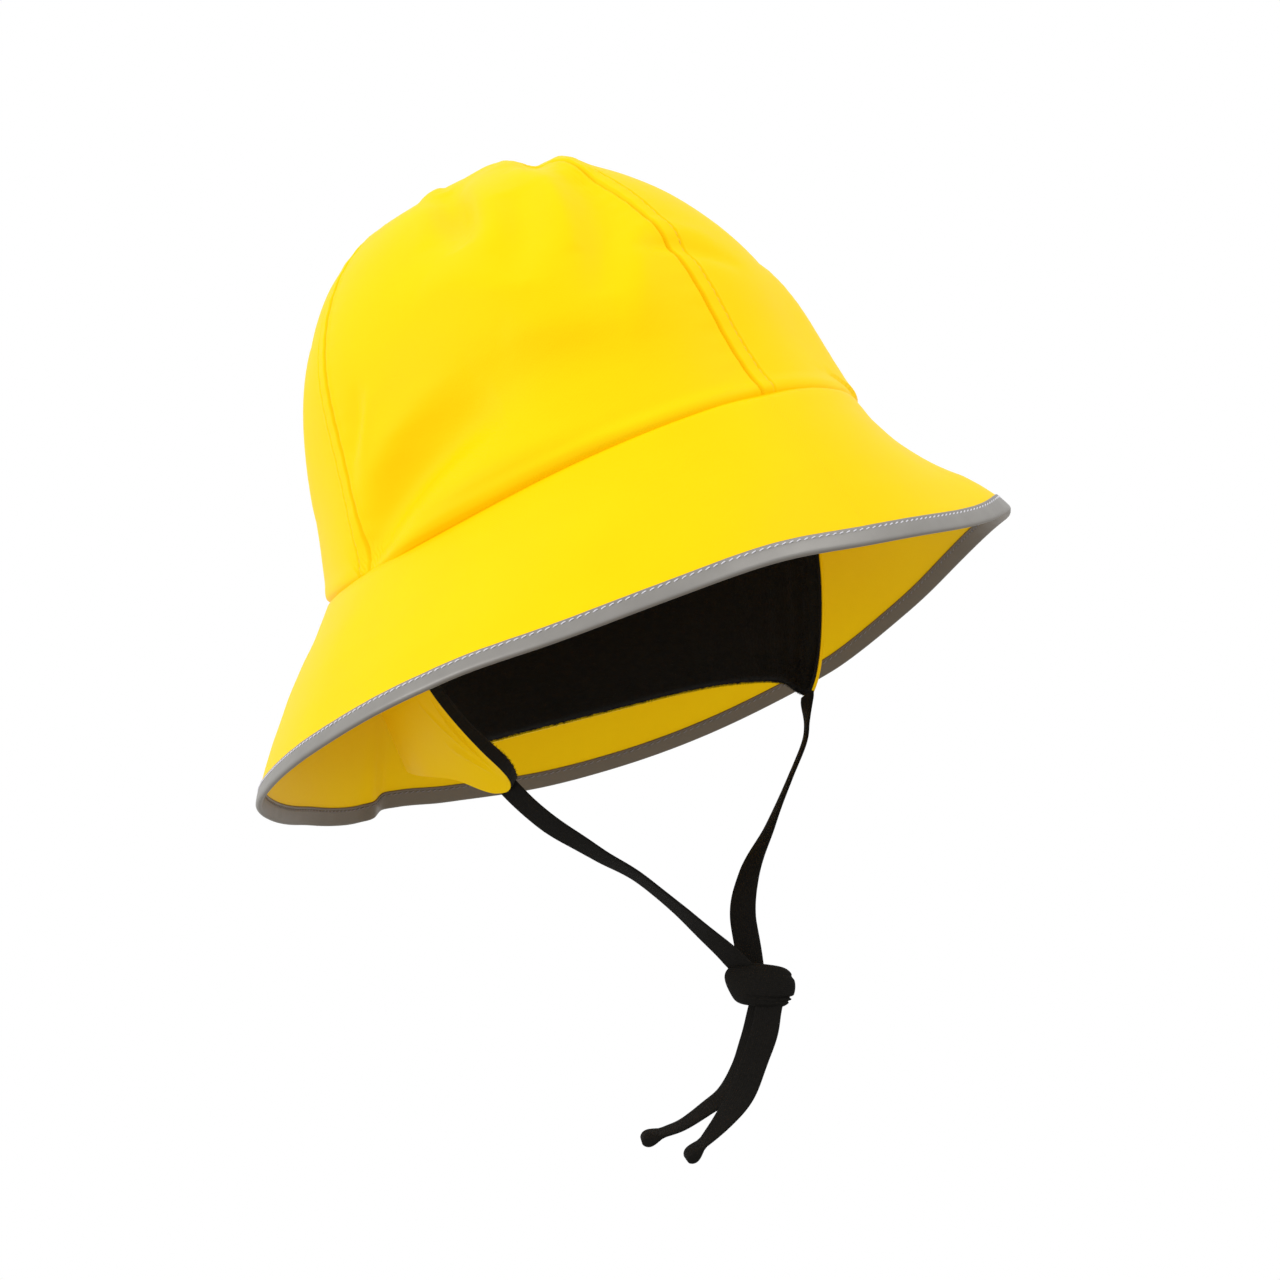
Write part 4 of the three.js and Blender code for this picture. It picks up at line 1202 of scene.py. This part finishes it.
# %% Flap surfaces
flap_length = float(np.linalg.norm(np.diff(flap_grid[:, -1], axis=0), axis=-1).sum())
flap_depth = float(np.linalg.norm(np.diff(flap_grid[0], axis=0), axis=-1).sum())
flap_row_shares = np.concatenate([np.linspace(0, 0.86, 40), 1 - 0.14 * np.linspace(1, 0, 22)[1:] ** 1.4])
flap_column_shares = 2 * ramp(np.linspace(0, 1, 240), -0.04, 1.04) - 1
flap_column_shares /= flap_column_shares.max()
RIGHT, LEFT = 0, 1
PULLED_FORWARD = (13.5, 3.0)
PULLED_ABOVE = ((8, 40), (4, 26))
PULLED_DOWN = 3.4
SHELL_TIPS = ((22, 11), (13, 9))
SHELL_REACHES = (0.6, 0.4)
CREASES = [
    {"from": (7, 34), "to": (9, 8), "wide": 1.0, "rise": 0.9},
    {"from": (10, 7), "to": (34, 17), "wide": 1.1, "rise": 0.9},
    {"from": (13, 12), "to": (26, 34), "wide": 1.3, "rise": 0.6},
]


def crease_relief(behind, above):
    """How far the creases at the tip stand out, at places behind the front edge and above the lower one."""
    relief = np.zeros(behind.shape)
    for crease in CREASES:
        start, run = np.array(crease["from"]), np.subtract(crease["to"], crease["from"])
        share = ((behind - start[0]) * run[0] + (above - start[1]) * run[1]) / (run @ run)
        share = np.clip(share, 0, 1)
        aside = np.hypot(behind - start[0] - share * run[0], above - start[1] - share * run[1])
        relief += crease["rise"] * np.sin(math.pi * share) * bump_at(aside / crease["wide"])
    return relief


def front_edge(above, side, reach, tip):
    """How far forward the front edge lies at heights above the lower one: pulled, then rounded at its tip."""
    deep, tall = tip
    rounding = deep * (1 - np.sqrt(1 - np.clip(1 - above / tall, 0, 1) ** 2))
    return reach + PULLED_FORWARD[side] * (1 - ramp(above, *PULLED_ABOVE[side])) - rounding


def flap_face(reaches, tips, shorter, inward):
    """A face of the flap: its points, its outward directions and its places on the cloth in millimetres."""
    down = flap_row_shares * (1 - shorter / flap_depth)
    above_edge = (1 - down) * flap_depth
    right, left = (front_edge(above_edge, side, reaches[side], tips[side]) for side in (RIGHT, LEFT))
    half = flap_length / 2
    shares = flap_column_shares[:, None]
    rounds = shares * (1 + np.where(shares < 0, right, left) / half)
    behind = (rounds + 1) * half + front_edge(above_edge, RIGHT, SHELL_REACHES[RIGHT], SHELL_TIPS[RIGHT])
    drop = PULLED_DOWN * (1 - ramp(behind, 4, 32)) * (1 - ramp(above_edge, 2, 30))
    rows = (down + drop / flap_depth) * (FLAP_FORM_ROWS - 1)
    columns = (rounds + 1) / 2 * (FLAP_COLUMNS - 1)
    form = on_grid(flap_grid, columns, rows, ring=False)
    normals = normals_of(form)
    places = cloth_places(rounds * half, down * flap_depth)
    above = above_edge + 0 * rounds
    depth = inward(rounds, behind, above) - crease_relief(behind, above)
    return form - normals * depth[..., None], normals, places


def shell_outer(rounds, behind, above):
    """The shell's outer side is the flap's outer face itself."""
    return 0 * rounds


def shell_inner(rounds, behind, above):
    """Its inner side lies one thickness of cloth inside that face."""
    return 0 * rounds + CLOTH


shell_out, shell_normals, shell_places = flap_face(SHELL_REACHES, SHELL_TIPS, 0, shell_outer)
shell_in, _, _ = flap_face(SHELL_REACHES, SHELL_TIPS, 0, shell_inner)
flap_shell = wall("flap_shell_cloth", shell_out, shell_in, coated, shell_places)
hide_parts("flap_shell")
print("flap, round its edge and down its front, mm:", round(flap_length, 1), round(flap_depth, 1))

# %% [markdown]
# ## Black fleece
# The lining is polyester fleece between 3 and 4 mm deep. Its nap is what makes it warm, and what makes its
# edge fuzzy where it hangs in front of the bright brim. The surface is matt, nearly black and slightly
# uneven. Fine fibres stand out of it: they are needles in one mesh, because real hair strands can't be kept
# in a mesh library.

# %% Fleece and nap
FLEECE = 3.6
FLEECE_WAVE = 17
UNDER_SHELL = 1.15
TURNED_OUT = 1.35
TURNED_IN = 1.1
THINNER_FRONT = 0.75
THINNER_BELOW = 0.55
WAVE_DEPTH = 0.25


def fleece():
    """Black polyester fleece: matt, with a soft nap in small tufts."""
    material, tree, output = new_material("black polyester fleece")
    place = add_node(tree, "ShaderNodeAttribute", attribute_name="cloth_mm")
    tufts = add_node(tree, "ShaderNodeTexNoise", {
        "Vector": place.outputs["Vector"], "Scale": 0.55, "Detail": 6.0, "Roughness": 0.65})
    shades = add_node(tree, "ShaderNodeMix", {
        0: tufts.outputs["Fac"], 6: colour("#0B0A09"), 7: colour("#1B1917")}, data_type="RGBA")
    bump = add_node(tree, "ShaderNodeBump", {
        "Height": tufts.outputs["Fac"], "Strength": 0.8, "Distance": 0.9 * MM})
    surface = add_node(tree, "ShaderNodeBsdfPrincipled", {
        "Base Color": shades.outputs[2], "Roughness": 0.95, "IOR": 1.5, "Specular IOR Level": 0.2,
        "Normal": bump.outputs["Normal"], "Sheen Weight": 0.15, "Sheen Roughness": 0.6,
        "Sheen Tint": colour("#4A4640")})
    tree.links.new(surface.outputs["BSDF"], output.inputs["Surface"])
    return material


black_fleece = fleece()


def fleece_outer(rounds, behind, above):
    """How far the fleece's outer side lies inside the flap's outer face: none where it is turned forward."""
    return UNDER_SHELL - TURNED_OUT * ramp(-behind, 0.4, 1.1) + TURNED_IN * ramp(-behind, 2.0, 3.4)


def fleece_inner(rounds, behind, above):
    """How far its inner side lies inside the flap's outer face, thinner at every edge."""
    from_front = np.where(rounds < 0, behind + 1.5, (1 - rounds) * flap_length / 2 - 3)
    thinner_front = THINNER_FRONT * (1 - ramp(from_front, -3.1, 3.5))
    thinner_below = THINNER_BELOW * bump_at(above / 1.4)
    waves = WAVE_DEPTH * np.sin(rounds * flap_length / 2 * math.tau / FLEECE_WAVE) * ramp(above, 2, 12)
    return UNDER_SHELL + FLEECE * (1 - thinner_front) * (1 - thinner_below) + waves


LINING_REACHES = (2.5, -0.4)
LINING_TIPS = ((23, 11.5), (12, 8))
LINING_SHORTER = 1.0
lining_cut = (LINING_REACHES, LINING_TIPS, LINING_SHORTER)
lining_out, lining_normals, lining_places = flap_face(*lining_cut, fleece_outer)
lining_in, _, _ = flap_face(*lining_cut, fleece_inner)
flap_lining = wall("flap_lining_fleece", lining_out, lining_in, black_fleece, lining_places)
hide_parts("flap_lining")
EDGE_NEEDLES = 9000
FACE_NEEDLES = 16000
NEEDLE_WIDTH = 0.07


def nap(name, roots, directions, length, seed):
    """Fine needles of fleece standing on given points, as one mesh."""
    random = np.random.default_rng(seed)
    lengths = length * random.uniform(0.4, 1.0, (len(roots), 1))
    leaning = unit(directions + random.normal(0, 0.45, directions.shape))
    tips = roots + leaning * lengths
    side = unit(np.cross(leaning, random.normal(0, 1, directions.shape)))
    other = np.cross(leaning, side)
    spokes = [side * math.cos(turn) + other * math.sin(turn) for turn in (0, 2.1, 4.2)]
    corners = [roots + NEEDLE_WIDTH * spoke for spoke in spokes]
    points = np.stack([*corners, tips], axis=1)
    first = np.arange(len(roots))[:, None, None] * 4
    faces = (np.array([[0, 1, 3], [1, 2, 3], [2, 0, 3]])[None] + first).reshape(-1, 3)
    return finished_mesh(name, points.reshape(-1, 3) * MM, faces, black_fleece, points)


def fleece_nap():
    """Nap along the lining's lower edge, its front edges and, thinly, all over its inner face."""
    random = np.random.default_rng(7)
    columns, rows = lining_in.shape[:2]
    down = unit(lining_in[:, -1] - lining_in[:, -6])
    picks = random.integers(0, columns, EDGE_NEEDLES)
    mix = random.uniform(0, 1, (EDGE_NEEDLES, 1))
    edge_roots = lining_in[picks, -1] * mix + lining_out[picks, -1] * (1 - mix)
    to_next = lining_in[(picks + 1) % columns, -1] - lining_in[picks, -1]
    edge_roots += to_next * random.uniform(0, 1, (EDGE_NEEDLES, 1)) * (picks < columns - 1)[:, None]
    edge = nap("fleece_nap_edge", edge_roots, down[picks] - 0.3 * lining_normals[picks, -1], 1.5, 11)
    column = random.integers(0, columns - 1, FACE_NEEDLES)
    row = random.integers(0, rows - 1, FACE_NEEDLES)
    share = random.uniform(0, 1, (FACE_NEEDLES, 1))
    face_roots = lining_in[column, row] * share + lining_in[column + 1, row + 1] * (1 - share)
    face = nap("fleece_nap_face", face_roots, -lining_normals[column, row], 1.1, 12)
    return edge, face


naps = fleece_nap()
print("needles of nap:", [len(piece.data.polygons) // 3 for piece in naps])

# %% [markdown]
# ## The flap's two layers
# Both layers hang from the seam and are cut to one pattern. Its flat size is as long as the longer of the
# flap's upper and lower edges and as deep as its front edge, and its area is smaller than that, because
# the flap is less deep at the back.

# %% [markdown]
# ## Floor and light
# The hat was photographed against white. A pale floor far below and a bright even sky give that. One large
# soft light stands at the wearer's right and one at the front left, both above the brim, so that the cloth
# keeps its own sheen and the inside stays in shade.

# %% Floor and light
def matt_white():
    """Plain pale floor paint."""
    material, tree, output = new_material("pale floor")
    surface = add_node(tree, "ShaderNodeBsdfPrincipled", {
        "Base Color": colour("#B8B8B6"), "Roughness": 0.8})
    tree.links.new(surface.outputs["BSDF"], output.inputs["Surface"])
    return material


def soft_light(name, azimuth, elevation, distance, size, power):
    """A square soft light that faces the hat."""
    light = bpy.data.lights.new(name, "AREA")
    light.size, light.energy = size, power
    lamp = bpy.data.objects.new(name, light)
    rise = math.radians(elevation)
    back = outward(azimuth) * math.cos(rise) + Vector((0, 0, math.sin(rise)))
    lamp.location = back * distance
    lamp.rotation_mode = "QUATERNION"
    lamp.rotation_quaternion = back.to_track_quat("Z", "Y")
    bpy.context.collection.objects.link(lamp)
    return lamp


FLOOR_HEIGHT = -0.45
FLOOR_RADIUS = 1.25
FLOOR_SIDES = 96
floor_mesh = bpy.data.meshes.new("floor")
floor_rim = [
    (FLOOR_RADIUS * math.cos(turn), FLOOR_RADIUS * math.sin(turn), FLOOR_HEIGHT)
    for turn in np.linspace(0, math.tau, FLOOR_SIDES, endpoint=False)
]
floor_mesh.from_pydata(floor_rim, [], [list(range(FLOOR_SIDES))])
floor_mesh.materials.append(matt_white())
floor = bpy.data.objects.new("floor", floor_mesh)
bpy.context.collection.objects.link(floor)

world = bpy.data.worlds.new("pale studio")
world.use_nodes = True
world.node_tree.nodes["Background"].inputs["Color"].default_value = colour("#FFFFFF")
world.node_tree.nodes["Background"].inputs["Strength"].default_value = 1.0
bpy.context.scene.world = world
bpy.context.scene.view_settings.view_transform = "Standard"

lights = [
    soft_light("key", azimuth=-98, elevation=32, distance=1.6, size=0.8, power=8.5),
    soft_light("fill", azimuth=30, elevation=38, distance=1.8, size=0.9, power=8.5),
]
print("lights:", [light.name for light in lights])
